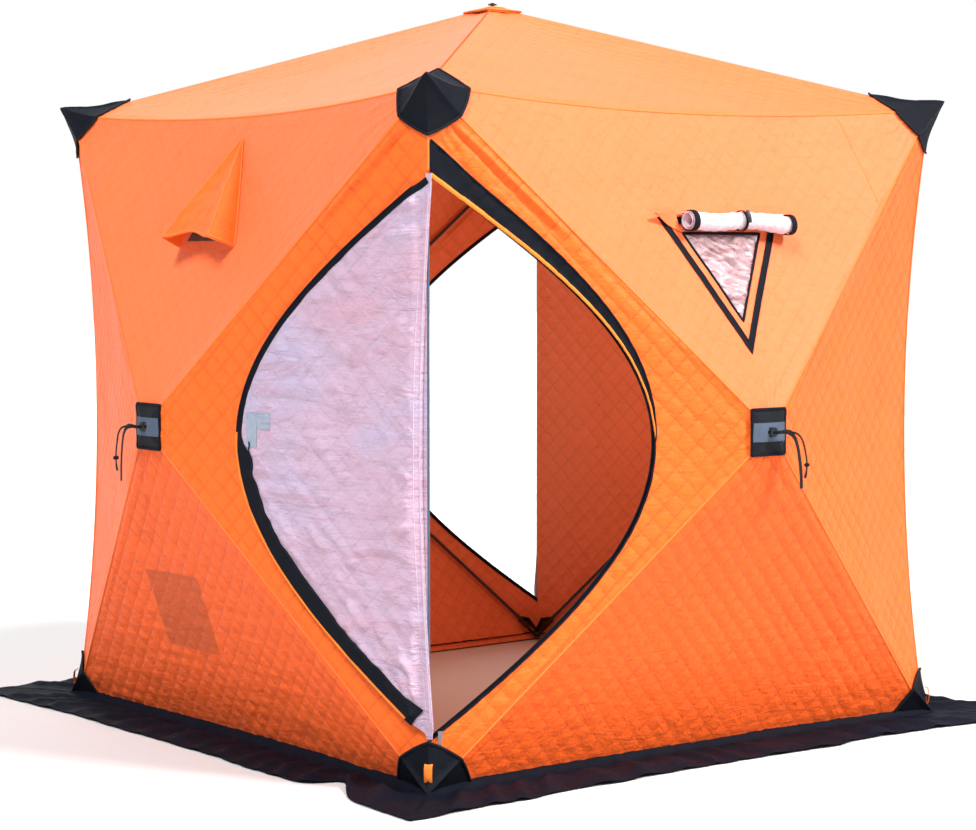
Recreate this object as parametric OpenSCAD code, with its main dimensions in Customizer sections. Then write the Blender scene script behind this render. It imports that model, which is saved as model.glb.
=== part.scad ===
// Hub-style ice fishing shelter: a quilted shell on five pop-out hubs and twenty poles.
// Origin at ground level under the middle of the roof, +Z up, front wall towards -Y.
// Two corners, (-X, -Y) and (+X, +Y), hold a door. The shelter repeats after half a turn.

/* [Shell] */
// Width and depth between the corners of the base
base_w = 1800; // [1700:10:1900]
// Height of the eave corners
eave_h = 1760; // [1700:10:1820]
// Height of the roof peak
peak_h = 2070; // [2030:10:2110]
// How far the middle of each wall stands out from its corners
wall_out = 285; // [270:5:300]
// Thickness of the quilted fabric
skin_t = 4; // [3:0.5:5]
// How far the middle of an eave hangs below its corners
eave_sag = 40; // [20:5:50]
// How far the middle of an eave pulls in
eave_pull = 42; // [20:2:50]
// How far the middle of a plain upright edge pulls in, along X and along Y
edge_pull = 46; // [20:2:50]
// How far the middle of a base edge pulls in
base_pull = 25; // [5:5:30]

/* [Doors] */
// Height of the top of the door opening
door_top = 1545; // [1500:5:1560]
// Height of its bottom
door_bottom = 135; // [120:5:200]
// Height at which it is widest
door_mid = 860; // [840:5:880]
// Width of the open half at that height
door_w = 610; // [560:5:640]
// Distance from the fold line's axis to the middle of the fabric
fold_r = 9; // [8:0.5:12]
// Width of the strip along the lower edge of a door
door_strip_w = 58; // [40:2:70]
// Width of the storm flap beside a door
storm_w = 64; // [40:2:80]

/* [Frame] */
// Diameter of a pole
pole_d = 11; // [9:0.5:11]
// Diameter of the ferrules at the ends of a pole
ferrule_d = 13; // [12:0.5:13]
// Diameter of a hub pin
pin_d = 4; // [3:0.5:5]
// Radius of the circle that the hub pins stand on
pin_circle_r = 34; // [34:1:38]
// Distance from a shell corner in to its socket's centre, along each axis
socket_in = 18; // [18:1:22]

/* [Trim] */
// Width of the ground skirt
skirt_w = 185; // [150:5:220]
// Thickness of the ground skirt
skirt_t = 3; // [2:0.5:3]
// Side of the square patch on a wall hub
patch_w = 124; // [100:2:140]
// Reach of a corner cap along the edges that it covers
cap_reach = 108; // [90:2:130]
// Width of a window's fastening band at its top
window_w = 430; // [380:10:460]
// Height of a window up the slope, from its lower point to its top
window_h = 385; // [320:5:400]
// Width of a vent hood
vent_w = 290; // [240:10:320]
// Height of a vent hood up the slope
vent_h = 310; // [240:10:320]
// How far the lower edge of a vent hood stands off the wall
vent_out = 75; // [60:5:90]

/* [Hidden] */

// Colours
shell_colour = [0.98, 0.5, 0.16];
lining_colour = [0.84, 0.73, 0.84];
black = [0.08, 0.09, 0.11];
grey_band = [0.42, 0.48, 0.57];
steel = [0.7, 0.7, 0.72];
fibre = [0.16, 0.16, 0.17];

// Shell
half = base_w / 2;
floor_z = skirt_t + 1;
socket_low = floor_z + socket_in;
socket_high = eave_h - socket_in;
hub_z = (socket_low + socket_high) / 2;
wall_apex = [0, -half - wall_out, hub_z];
roof_apex = [0, 0, peak_h];
seam_gap = 0.0012;
apex_hole = 0.016;
edge_steps = 10;

// Frame
hub_in = 36;
socket_x = half - socket_in;
slot_w = ferrule_d + 1;
pin_clearance = 0.06;
round_fn = 48;
wall_hub = [0, -half - wall_out + hub_in, hub_z];
roof_hub = [0, 0, peak_h - hub_in];
tip_short = 62;

// Doors: along the gore, across it, and the gore's angle to the wall plane
gore_angle = atan2(wall_out, half);
gore_len = norm([half, wall_out]);
fold_open = 2 * fold_r;
upper_slope = (eave_h - hub_z) / gore_len;
lower_slope = (hub_z - floor_z) / gore_len;
lens_steps = 12;
zip_w = 6;
zip_gap = 0.5;
zip_t = 2.4;
chord_gap = 5;
tape_t = 2;
tape_start = 45;
flap_inset = 2 * zip_w + 3 * zip_gap;

// Trim
window_top = 1440;
window_hem = 13;
band_w = 24;
pane_t = 1.5;
cover_r = 25;
cover_len = 390;
cover_shift = 50;
vent_low = 1370;
vent_shift = -30;
vent_foot = 4;
patch_lie = 0.7;
pocket_size = [270, 250];
pocket_low = 245;
pocket_shift = 110;

// Route of a wall's pull strap from the hub's stud: along X, out of the wall, and up
strap_route = [
    [0, 0, 0], [1, 7, 0], [5, 13, 1], [12, 17, 2], [21, 19, 2], [31, 20, 0], [41, 20, -5],
    [50, 19, -13], [58, 18, -24], [64, 17, -37], [69, 16, -51], [73, 15, -66], [77, 14, -82],
    [80, 13, -98], [83, 12, -115], [85, 11, -132], [87, 10, -150]
];
strap_d = 8;
strap_sides = 8;
stud_end = 47;

function unit(v) = v / norm(v);
function reversed(list) = [for (i = [len(list) - 1:-1:0]) list[i]];

// A point along a curve between two points, pulled aside most at its middle
function pulled(a, b, pull, s) = a + (b - a) * s + pull * (4 * s * (1 - s));

// Corners of the front wall: 0 top left, 1 top right, 2 bottom right, 3 bottom left.
// Edge k runs from corner k to the next: the eave, the plain upright, the base, the door's upright.
function corner(k) = [(k == 0 || k == 3) ? -half : half, -half, k < 2 ? eave_h : floor_z];
pulls = [[0, eave_pull, -eave_sag], [-edge_pull, edge_pull, 0], [0, base_pull, 0], [0, 0, 0]];
function edge_at(k, s) = pulled(corner(k), corner((k + 1) % 4), pulls[k], s);
function edge_len(k) = norm(corner((k + 1) % 4) - corner(k));

// Step from the outer face to the inner one along edge k, mitred where two panels meet
edge_steps_in = [[0, 1, -1], [-1, 1, 0], [0, 1, 0], [1, 1, 0]];
function corner_step(k) = [(k == 0 || k == 3) ? 1 : -1, 1, k < 2 ? -1 : 0];
function step_in(k, s) =
    skin_t * (s < 0.01 ? corner_step(k) : s > 0.99 ? corner_step((k + 1) % 4) : edge_steps_in[k]);

// A wall's parts are drawn at the front. The left wall mirrors the front one across the door
// corner, and the back and right walls are the front and left ones after half a turn.
module on_wall(name) {
    if (name == "front") children();
    if (name == "left") mirror([1, -1, 0]) children();
    if (name == "back") rotate([0, 0, 180]) children();
    if (name == "right") rotate([0, 0, 180]) mirror([1, -1, 0]) children();
}

// Puts a shape at a point, with its X and Z along two perpendicular directions
module aligned(at, x, z) {
    y = cross(z, x);
    multmatrix([
        [x.x, y.x, z.x, at.x],
        [x.y, y.y, z.y, at.y],
        [x.z, y.z, z.z, at.z],
        [0, 0, 0, 1]
    ]) children();
}

// The plane of the door's gore: X from the fold line to the wall hub, Y up, Z outwards
module on_door_gore() {
    translate([-half, -half, 0]) rotate([0, 0, -gore_angle]) rotate([90, 0, 0]) children();
}

// The middle of the upper gore: X along the wall, Y up the slope from the hub, Z outwards
upper_rise = eave_h - eave_sag - hub_z;
upper_run = wall_out + eave_pull;
upper_len = norm([upper_rise, upper_run]);
upper_scale = upper_len / upper_rise;
function up_slope(z) = (z - hub_z) * upper_scale;

// How far the cloth stands out from that plane, which its corners are this far in front of
upper_lift = ((eave_h - hub_z) * upper_run - wall_out * upper_rise) / upper_len;
function bulge(p) = upper_lift * pow(p.x / half, 2) * upper_len / p.y;
module on_upper_gore() {
    translate(wall_apex) rotate([atan2(upper_rise, upper_run), 0, 0]) children();
}

// The middle of the lower gore, seen the same way, with Y up towards the hub
lower_rise = hub_z - floor_z;
lower_run = wall_out + base_pull;
lower_scale = norm([lower_rise, lower_run]) / lower_rise;
module on_lower_gore() {
    translate(wall_apex) rotate([90 + atan2(lower_run, lower_rise), 0, 0]) children();
}

// A closed sheet: row a and row b of its outer face, and the same rows of its inner face
module sheet(outer_a, outer_b, inner_a, inner_b) {
    n = len(outer_a);
    last = n - 1;
    strips = [for (i = [0:n - 2], f = [
        [i, i + 1 + n, i + n], [i, i + 1, i + 1 + n],
        [i + 2 * n, i + 3 * n, i + 1 + 3 * n], [i + 2 * n, i + 1 + 3 * n, i + 1 + 2 * n],
        [i, i + 2 * n, i + 1 + 2 * n], [i, i + 1 + 2 * n, i + 1],
        [i + n, i + 1 + 3 * n, i + 3 * n], [i + n, i + 1 + n, i + 1 + 3 * n]
    ]) f];
    ends = [
        [0, n, 3 * n], [0, 3 * n, 2 * n],
        [last, last + 3 * n, last + n], [last, last + 2 * n, last + 3 * n]
    ];
    polyhedron(concat(outer_a, outer_b, inner_a, inner_b), concat(strips, ends));
}

// One gore: straight lines from an apex to the curve of edge k, run backwards on the roof
module gore(apex, apex_in, k, backwards = false) {
    s_up = [for (i = [0:edge_steps]) seam_gap + (1 - 2 * seam_gap) * i / edge_steps];
    s_row = backwards ? reversed(s_up) : s_up;
    rim = 1 - seam_gap;
    sheet(
        [for (s = s_row) apex + (edge_at(k, s) - apex) * rim],
        [for (s = s_row) apex + (edge_at(k, s) - apex) * apex_hole],
        [for (s = s_row) apex_in + (edge_at(k, s) + step_in(k, s) - apex_in) * rim],
        [for (s = s_row) apex_in + (edge_at(k, s) + step_in(k, s) - apex_in) * apex_hole]
    );
}

// Half of the door's outline, from the top of the fold line round to its bottom
function bezier(p, t) =
    p[0] * pow(1 - t, 3) + p[1] * 3 * t * pow(1 - t, 2) + p[2] * 3 * t * t * (1 - t) + p[3] * pow(t, 3);
lens_upper = [[0, door_top], [door_w * 0.49, door_top - 205], [door_w, door_mid + 270], [door_w, door_mid]];
lens_lower = [[door_w, door_mid], [door_w, door_mid - 260], [door_w * 0.54, door_bottom + 235],
    [0, door_bottom]];
lens_points = concat(
    [for (i = [0:lens_steps - 1]) bezier(lens_upper, i / lens_steps)],
    [for (i = [0:lens_steps]) bezier(lens_lower, i / lens_steps)]
);
lens_last = len(lens_points) - 1;
function lens_normal(i) =
    let (d = lens_points[min(i + 1, lens_last)] - lens_points[max(i - 1, 0)]) unit([-d.y, d.x]);
function lens_inset(i, inset) = lens_points[i] - lens_normal(i) * inset;

module lens_area(inset) {
    polygon(concat(
        [for (i = [0:lens_last]) lens_inset(i, inset)],
        [[-60, door_bottom], [-60, door_top]]
    ));
}

module half_lens(inset, start = chord_gap) {
    intersection() {
        lens_area(inset);
        translate([start, 0]) square([gore_len, eave_h]);
    }
}

module lens_ribbon(outer, inner, start = chord_gap) {
    difference() {
        half_lens(outer, start);
        lens_area(inner);
    }
}

// The door's gore, a little inside its seams
module gore_outline(shift) {
    end = gore_len * (1 - apex_hole);
    polygon([
        [chord_gap, eave_h - upper_slope * chord_gap - shift],
        [end, hub_z + upper_slope * (gore_len - end) - shift],
        [end, hub_z - lower_slope * (gore_len - end) + shift],
        [chord_gap, floor_z + lower_slope * chord_gap + shift]
    ]);
}

// Corners of a window on the upper gore, pulled in evenly by an inset
function window_corners(inset) =
    let (
        top = up_slope(window_top),
        inner_r = window_w * window_h / (window_w + 2 * norm([window_w / 2, window_h])),
        centre = [0, top - inner_r],
        size = (inner_r - inset) / inner_r
    )
    [for (p = [[-window_w / 2, top], [window_w / 2, top], [0, top - window_h]]) centre + (p - centre) * size];

module window_triangle(inset) {
    polygon(window_corners(inset));
}

// Points round a window, from the middle of its top edge and back, lying on the cloth
function steps_between(a, b, n) = [for (i = [0:n - 1]) a + (b - a) * i / n];
function window_path(inset) =
    let (c = window_corners(inset), middle = (c[0] + c[1]) / 2, cut = [0.5, 0])
    concat(steps_between(middle + cut, c[1], 3), steps_between(c[1], c[2], 6),
        steps_between(c[2], c[0], 6), steps_between(c[0], middle - cut, 3), [middle - cut]);
function on_cloth(path, z) = [for (p = path) [p.x, p.y, bulge(p) + z]];

module wall(name, has_door, has_window) {
    apex_in = wall_apex + [0, skin_t, 0];
    color(shell_colour) on_wall(name) {
        difference() {
            gore(wall_apex, apex_in, 0);
            if (has_window)
                on_upper_gore() translate([0, 0, -30]) linear_extrude(60) window_triangle(window_hem);
        }
        gore(wall_apex, apex_in, 1);
        gore(wall_apex, apex_in, 2);
        on_door_gore() translate([0, 0, -skin_t]) linear_extrude(skin_t) difference() {
            gore_outline(5);
            if (has_door)
                lens_area(0);
        }
    }
}

module wall_front() { wall("front", true, true); }
module wall_back() { wall("back", true, true); }
module wall_left() { wall("left", false, false); }
module wall_right() { wall("right", false, false); }

module roof_panel() {
    color(shell_colour) for (name = ["front", "right", "back", "left"])
        on_wall(name) gore(roof_apex, roof_apex - [0, 0, skin_t], 0, true);
}

module ground_skirt() {
    inner = half - base_pull - 12;
    edge = half + skirt_w;
    tip = edge + 30;
    color(black) linear_extrude(skirt_t) difference() {
        polygon([
            [-tip, -tip], [-half / 2, -edge], [half / 2, -edge], [tip, -tip],
            [edge, -half / 2], [edge, half / 2], [tip, tip], [half / 2, edge],
            [-half / 2, edge], [-tip, tip], [-edge, half / 2], [-edge, -half / 2]
        ]);
        square(2 * inner, center = true);
    }
}

// A shell over a corner: a fan of flat facets round the corner, between two steps along a direction
module fan_shell(centre, ring, out, low, high, closed) {
    n = len(ring);
    m = n + 1;
    count = closed ? n : n - 1;
    function at(i) = 1 + i % n;
    points = concat(
        [centre + out * high], [for (p = ring) p + out * high],
        [centre + out * low], [for (p = ring) p + out * low]
    );
    facets = [for (i = [0:count - 1], f = [
        [0, at(i), at(i + 1)], [m, m + at(i + 1), m + at(i)],
        [at(i), m + at(i), m + at(i + 1)], [at(i), m + at(i + 1), at(i + 1)]
    ]) f];
    ends = closed ? [] : [
        [0, m, m + 1], [0, m + 1, 1],
        [0, n, m + n], [0, m + n, m]
    ];
    polyhedron(points, concat(facets, ends));
}

module top_cap(door_side) {
    k = door_side ? 0 : 1;
    c = corner(k);
    reach = cap_reach / edge_len(0);
    function other(p) = door_side ? [p.y, p.x, p.z] : [-p.y, -p.x, p.z];
    upright = door_side ? edge_at(3, 1 - reach) : edge_at(1, reach);
    eave = edge_at(0, door_side ? reach : 1 - reach);
    wall_seam = c + unit(wall_apex - c) * cap_reach * 0.9;
    roof_seam = c + unit(roof_apex - c) * cap_reach * 1.1;
    ring = [upright, wall_seam, eave, roof_seam, other(eave), other(wall_seam)];
    out = unit([c.x, c.y, half]);
    fan_shell(c, door_side ? reversed(ring) : ring, out, 0.8, 3.8, true);
}

module bottom_cap(door_side) {
    k = door_side ? 3 : 2;
    c = corner(k);
    reach = cap_reach / edge_len(1);
    function other(p) = door_side ? [p.y, p.x, p.z] : [-p.y, -p.x, p.z];
    upright = door_side ? edge_at(3, reach) : edge_at(1, 1 - reach);
    base = edge_at(2, door_side ? 1 - reach : reach);
    wall_seam = c + unit(wall_apex - c) * cap_reach * 0.9;
    ring = [base, wall_seam, upright, other(wall_seam), other(base)];
    out = unit([c.x, c.y, 0]);
    fan_shell(c, door_side ? reversed(ring) : ring, out, 0.8, 3.8, false);
}

module corner_caps() {
    color(black) for (turn = [0, 180], door_side = [true, false]) rotate([0, 0, turn]) {
        top_cap(door_side);
        bottom_cap(door_side);
    }
}

// Directions in its wall's plane, or the roof's, from a hub to its four sockets
socket_rise = socket_high - hub_z;
function wall_way(k) = unit([(k == 0 || k == 3) ? -socket_x : socket_x, 0, k < 2 ? socket_rise : -socket_rise]);
function roof_way(k) = unit([(k == 0 || k == 3) ? -1 : 1, k < 2 ? 1 : -1, 0]);

// Two cheeks that guide a pole's tip while the pole swings, with X towards the hub
module fork(at, way, out) {
    cheek_t = 3;
    for (side = [slot_w / 2, -slot_w / 2 - cheek_t])
        aligned(at, way, cross(way, out)) translate([0, 0, side]) linear_extrude(cheek_t)
            polygon([[-4, -9], [30, -12], [82, -23], [82, 23], [30, 12], [-4, 9]]);
}

module socket(c, walls, roof) {
    at = [sign(c.x) * socket_x, sign(c.y) * socket_x, c.z];
    up = c.z > hub_z ? socket_rise : -socket_rise;
    translate(at) sphere(d = 24, $fn = round_fn);
    fork(at, -unit([at.x, 0, up]), [0, sign(c.y), 0]);
    fork(at, -unit([0, at.y, up]), [sign(c.x), 0, 0]);
    if (roof)
        fork(at, -unit([at.x, at.y, 0]), [0, 0, 1]);
}

module corner_sockets() {
    color(black) for (x = [-1, 1], y = [-1, 1]) {
        socket([x, y, socket_high], true, true);
        socket([x, y, socket_low], true, false);
    }
}

module corner_tabs() {
    color(shell_colour) for (turn = [0, 90, 180, 270]) rotate([0, 0, turn])
        translate([-half, -half, 30]) rotate([0, 0, -45]) translate([-10, -9, 0]) cube([20, 3, 45]);
}

module window_panes() {
    color([0.86, 0.85, 0.9]) for (name = ["front", "back"]) on_wall(name) on_upper_gore()
        translate([0, 0, -skin_t + 0.5]) linear_extrude(pane_t) window_triangle(window_hem + 1.5);
}

module window_bands() {
    low = 0.8;
    high = low + tape_t;
    color(black) for (name = ["front", "back"]) on_wall(name) on_upper_gore() sheet(
        on_cloth(window_path(0), high), on_cloth(window_path(band_w), high),
        on_cloth(window_path(0), low), on_cloth(window_path(band_w), low)
    );
}

module window_covers() {
    color(lining_colour) for (name = ["front", "back"]) on_wall(name) on_upper_gore()
        translate([cover_shift - cover_len / 2, up_slope(window_top) - 15, cover_r + 8])
            rotate([0, 90, 0]) cylinder(h = cover_len, r = cover_r, $fn = round_fn);
}

// The space under a vent hood, or the hood's outer shape: open towards the wall and below
module vent_wedge(gap, drop, back) {
    top = up_slope(vent_low) + vent_h - gap * 3;
    low = up_slope(vent_low) - drop;
    lift = vent_out * (up_slope(vent_low) + vent_h - low) / vent_h - gap;
    side = vent_w / 2 - gap * 1.2;
    foot = back + vent_foot;
    points = [
        [0, top, back], [-side, low, foot], [side, low, foot],
        [-side * 0.86, low, lift], [side * 0.86, low, lift]
    ];
    polyhedron(points, [[0, 1, 2], [0, 4, 3], [0, 3, 1], [0, 2, 4], [1, 4, 2], [1, 3, 4]]);
}

module vent_hoods() {
    color(shell_colour) for (name = ["left", "right"]) on_wall(name) on_upper_gore()
        translate([vent_shift, 0, 0]) difference() {
            vent_wedge(0, 0, 1);
            vent_wedge(3, 15, -6);
        }
}

module storage_pockets() {
    color(black) for (name = ["left", "right"]) on_wall(name) on_lower_gore()
        translate([pocket_shift - pocket_size.x / 2, (pocket_low - hub_z) * lower_scale, -skin_t - 10])
            cube([pocket_size.x, pocket_size.y, 6]);
}

// The flap of a storm strip narrows from the corner cap to a point at the door's widest
module storm_flaps() {
    color(black) for (name = ["front", "back"]) on_wall(name) on_door_gore()
        translate([0, 0, 0.5]) linear_extrude(tape_t) intersection() {
            polygon(concat(
                [for (i = [0:lens_steps - 1]) lens_inset(i, -1)],
                [for (i = [lens_steps - 1:-1:0]) lens_inset(i, -1 - storm_w * (1 - i / lens_steps))]
            ));
            gore_outline(8);
        }
}

module zip_tracks() {
    color(black) for (name = ["front", "back"]) on_wall(name) on_door_gore()
        translate([0, 0, (-skin_t - zip_t) / 2]) linear_extrude(zip_t)
            lens_ribbon(zip_gap, zip_gap + zip_w);
}

module zip_sliders() {
    color(steel) for (name = ["front", "back"]) on_wall(name) on_door_gore() translate([28, 0, 0.6]) {
        translate([-6, door_bottom + 4, 0]) cube([12, 20, 6]);
        difference() {
            translate([-4, door_bottom - 34, 1.5]) cube([8, 42, 1.8]);
            translate([0, door_bottom - 28, 0]) cylinder(h = 6, d = 4, $fn = round_fn);
        }
    }
}

// A door hangs folded back against the next wall's gore, with its lining outwards
module folded_door(name) {
    on_wall(name) on_door_gore() translate([0, 0, fold_open - skin_t]) children();
}

module door_flap(name) {
    color(lining_colour) folded_door(name) linear_extrude(skin_t) half_lens(flap_inset);
}

module door_tape(name) {
    color(black) folded_door(name) {
        translate([0, 0, (skin_t - zip_t) / 2]) linear_extrude(zip_t)
            lens_ribbon(2 * zip_gap + zip_w, flap_inset - zip_gap, tape_start);
        translate([0, 0, skin_t + 0.4]) linear_extrude(tape_t) intersection() {
            lens_ribbon(2 * zip_gap + zip_w, door_strip_w, tape_start);
            square([gore_len, door_mid]);
        }
    }
}

module door_flap_front() { door_flap("left"); }
module door_flap_back() { door_flap("right"); }
module door_tape_front() { door_tape("left"); }
module door_tape_back() { door_tape("right"); }

// A hub's own frame: X and Y across its hub, Z outwards
module at_hub(name) {
    if (name == "roof")
        translate(roof_hub) children();
    else
        on_wall(name) translate(wall_hub) rotate([90, 0, 0]) children();
}

function hub_turns(name) =
    let (rise = name == "roof" ? 1 : socket_rise / socket_x, a = atan(rise)) [180 - a, a, -a, a - 180];

module hub_pin(length, radius) {
    translate([pin_circle_r, 0, 0]) rotate([90, 0, 0])
        cylinder(h = length, r = radius, center = true, $fn = round_fn);
}

module hub(name) {
    lug_t = 6;
    lug_h = 18;
    color(black) at_hub(name) difference() {
        union() {
            cylinder(h = 20, r = 22, center = true, $fn = 96);
            cylinder(h = stud_end, r = 6, $fn = round_fn);
            translate([0, 0, hub_in + 5]) cylinder(h = 3, r = 13, $fn = round_fn);
            for (a = hub_turns(name), side = [-1, 1]) rotate([0, 0, a]) {
                translate([8, side * (slot_w + lug_t) / 2 - lug_t / 2, -lug_h / 2])
                    cube([pin_circle_r - 8, lug_t, lug_h]);
                translate([pin_circle_r, side * (slot_w + lug_t) / 2, 0]) rotate([90, 0, 0])
                    cylinder(h = lug_t, d = lug_h, center = true, $fn = round_fn);
            }
        }
        for (a = hub_turns(name)) rotate([0, 0, a]) hub_pin(60, pin_d / 2 + 0.05);
    }
}

module pins(name) {
    length = slot_w + 12;
    head_t = 1.5;
    color(steel) at_hub(name) for (a = hub_turns(name)) rotate([0, 0, a]) {
        hub_pin(length + 0.4, pin_d / 2);
        for (side = [-1, 1]) translate([pin_circle_r, side * (length / 2 + 0.2 + head_t / 2), 0])
            rotate([90, 0, 0]) cylinder(h = head_t, r = pin_d * 0.8, center = true, $fn = round_fn);
    }
}

// A patch of webbing over a hub: a shallow four-sided pyramid with a hole for the stud
module patch(name) {
    size = patch_w / 2;
    slope = name == "roof" ? (peak_h - eave_h) / norm([half, half]) : wall_out / norm([half, hub_z]);
    fall = patch_lie * slope * norm([size, size]);
    points = [
        [0, 0, 0], [-size, -size, -fall], [size, -size, -fall], [size, size, -fall], [-size, size, -fall],
        [0, 0, -2.5], [-size, -size, -fall - 2.5], [size, -size, -fall - 2.5], [size, size, -fall - 2.5],
        [-size, size, -fall - 2.5]
    ];
    facets = [for (i = [0:3], j = (i + 1) % 4, f = [
        [0, 1 + j, 1 + i], [5, 6 + i, 6 + j], [1 + i, 1 + j, 6 + j], [1 + i, 6 + j, 6 + i]
    ]) f];
    color(name == "roof" ? shell_colour : black) at_hub(name) difference() {
        translate([0, 0, hub_in + 4]) polyhedron(points, facets);
        cylinder(h = 60, r = 9, $fn = round_fn);
    }
}

// A tube with a ring of points round each point of its route
module tube(route, d, sides) {
    last = len(route) - 1;
    reference = unit([1, -1, 1]);
    rings = [for (i = [0:last])
        let (
            t = unit(route[min(i + 1, last)] - route[max(i - 1, 0)]),
            u = unit(cross(reference, t)),
            v = cross(t, u)
        )
        for (j = [0:sides - 1]) route[i] + d / 2 * (u * cos(360 * j / sides) + v * sin(360 * j / sides))
    ];
    walls = [for (i = [0:last - 1], j = [0:sides - 1], k = (j + 1) % sides, f = [
        [i * sides + j, (i + 1) * sides + k, i * sides + k],
        [i * sides + j, (i + 1) * sides + j, (i + 1) * sides + k]
    ]) f];
    ends = [[for (j = [0:sides - 1]) j], [for (j = [sides - 1:-1:0]) last * sides + j]];
    polyhedron(rings, concat(walls, ends));
}

module strap(name) {
    color(black) at_hub(name) translate([0, 0, stud_end])
        tube([for (p = strap_route) [p.x, p.z, p.y]], strap_d, strap_sides);
}

// A pole along X from its hub pin, which crosses it along Z
module pole_body(length) {
    hub_end = 8;
    ferrule_len = 46;
    difference() {
        rotate([0, 90, 0]) {
            translate([0, 0, -hub_end]) cylinder(h = ferrule_len + hub_end, d = ferrule_d, $fn = round_fn);
            cylinder(h = length - 6, d = pole_d, $fn = round_fn);
            translate([0, 0, length - 40]) cylinder(h = 36, d = ferrule_d, $fn = round_fn);
            translate([0, 0, length - 4]) cylinder(h = 4, d1 = ferrule_d, d2 = 8, $fn = round_fn);
        }
        cylinder(h = 40, r = pin_d / 2 + pin_clearance, center = true, $fn = round_fn);
    }
}

// A pole from a hub to a socket: along the hub's plane to the socket, and in by the hub's depth
module pole_to(hub_at, way, out, reach, depth) {
    length = norm([reach, depth]);
    along = (way * reach - out * depth) / length;
    color(fibre) aligned(hub_at + way * pin_circle_r, along, cross(way, out)) pole_body(length - tip_short);
}

module pole(name, k) {
    if (name == "roof")
        pole_to(roof_hub, roof_way(k), [0, 0, 1], norm([socket_x, socket_x]) - pin_circle_r,
            roof_hub.z - socket_high);
    else
        on_wall(name) pole_to(wall_hub, wall_way(k), [0, -1, 0],
            norm([socket_x, socket_rise]) - pin_circle_r, -wall_hub.y - socket_x);
}

module hub_front() { hub("front"); }
module pins_front() { pins("front"); }
module patch_front() { patch("front"); }
module strap_front() { strap("front"); }
module pole_front_1() { pole("front", 0); }
module pole_front_2() { pole("front", 1); }
module pole_front_3() { pole("front", 2); }
module pole_front_4() { pole("front", 3); }
module hub_right() { hub("right"); }
module pins_right() { pins("right"); }
module patch_right() { patch("right"); }
module strap_right() { strap("right"); }
module pole_right_1() { pole("right", 0); }
module pole_right_2() { pole("right", 1); }
module pole_right_3() { pole("right", 2); }
module pole_right_4() { pole("right", 3); }
module hub_back() { hub("back"); }
module pins_back() { pins("back"); }
module patch_back() { patch("back"); }
module strap_back() { strap("back"); }
module pole_back_1() { pole("back", 0); }
module pole_back_2() { pole("back", 1); }
module pole_back_3() { pole("back", 2); }
module pole_back_4() { pole("back", 3); }
module hub_left() { hub("left"); }
module pins_left() { pins("left"); }
module patch_left() { patch("left"); }
module strap_left() { strap("left"); }
module pole_left_1() { pole("left", 0); }
module pole_left_2() { pole("left", 1); }
module pole_left_3() { pole("left", 2); }
module pole_left_4() { pole("left", 3); }
module hub_roof() { hub("roof"); }
module pins_roof() { pins("roof"); }
module patch_roof() { patch("roof"); }
module pole_roof_1() { pole("roof", 0); }
module pole_roof_2() { pole("roof", 1); }
module pole_roof_3() { pole("roof", 2); }
module pole_roof_4() { pole("roof", 3); }

roof_panel();
wall_front();
wall_right();
wall_back();
wall_left();
ground_skirt();
corner_caps();
corner_sockets();
corner_tabs();
window_panes();
window_bands();
window_covers();
vent_hoods();
storage_pockets();
storm_flaps();
zip_tracks();
zip_sliders();
door_flap_front();
door_tape_front();
door_flap_back();
door_tape_back();
hub_front();
pins_front();
patch_front();
strap_front();
pole_front_1();
pole_front_2();
pole_front_3();
pole_front_4();
hub_right();
pins_right();
patch_right();
strap_right();
pole_right_1();
pole_right_2();
pole_right_3();
pole_right_4();
hub_back();
pins_back();
patch_back();
strap_back();
pole_back_1();
pole_back_2();
pole_back_3();
pole_back_4();
hub_left();
pins_left();
patch_left();
strap_left();
pole_left_1();
pole_left_2();
pole_left_3();
pole_left_4();
hub_roof();
pins_roof();
patch_roof();
pole_roof_1();
pole_roof_2();
pole_roof_3();
pole_roof_4();
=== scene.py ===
import math

import bpy
import numpy as np
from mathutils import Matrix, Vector


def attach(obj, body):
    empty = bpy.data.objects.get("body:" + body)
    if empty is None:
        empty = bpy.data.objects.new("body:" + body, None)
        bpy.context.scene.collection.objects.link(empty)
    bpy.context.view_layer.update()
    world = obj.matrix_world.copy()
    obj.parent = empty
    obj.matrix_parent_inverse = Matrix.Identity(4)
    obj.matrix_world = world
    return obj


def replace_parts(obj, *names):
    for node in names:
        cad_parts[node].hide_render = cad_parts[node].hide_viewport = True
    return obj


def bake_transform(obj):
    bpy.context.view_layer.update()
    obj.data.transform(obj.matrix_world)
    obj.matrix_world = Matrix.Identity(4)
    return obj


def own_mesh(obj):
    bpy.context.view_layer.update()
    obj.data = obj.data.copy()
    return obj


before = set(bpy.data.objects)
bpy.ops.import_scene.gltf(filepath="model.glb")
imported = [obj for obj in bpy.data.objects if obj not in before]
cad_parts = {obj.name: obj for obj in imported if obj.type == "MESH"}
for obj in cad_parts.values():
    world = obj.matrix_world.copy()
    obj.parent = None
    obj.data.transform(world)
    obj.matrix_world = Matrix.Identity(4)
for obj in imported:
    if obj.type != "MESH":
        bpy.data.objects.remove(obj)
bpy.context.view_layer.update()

# Sizes in metres. The walls are drawn as the front one, which faces -Y, and then moved to their places.
HALF = 0.9
EAVE = 1.76
FLOOR = 0.004
PEAK = 2.07
WALL_OUT = 0.285
HUB_Z = (EAVE + FLOOR) / 2
RISE = EAVE - HUB_Z
EAVE_SAG = 0.040
EAVE_PULL = 0.042
EDGE_PULL = 0.046
BASE_PULL = 0.025
APEX = np.array([0, -HALF - WALL_OUT, HUB_Z])
ROOF_APEX = np.array([0, 0, PEAK])
GORE_ANGLE = math.atan2(WALL_OUT, HALF)
GORE_LEN = math.hypot(HALF, WALL_OUT)
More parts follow.
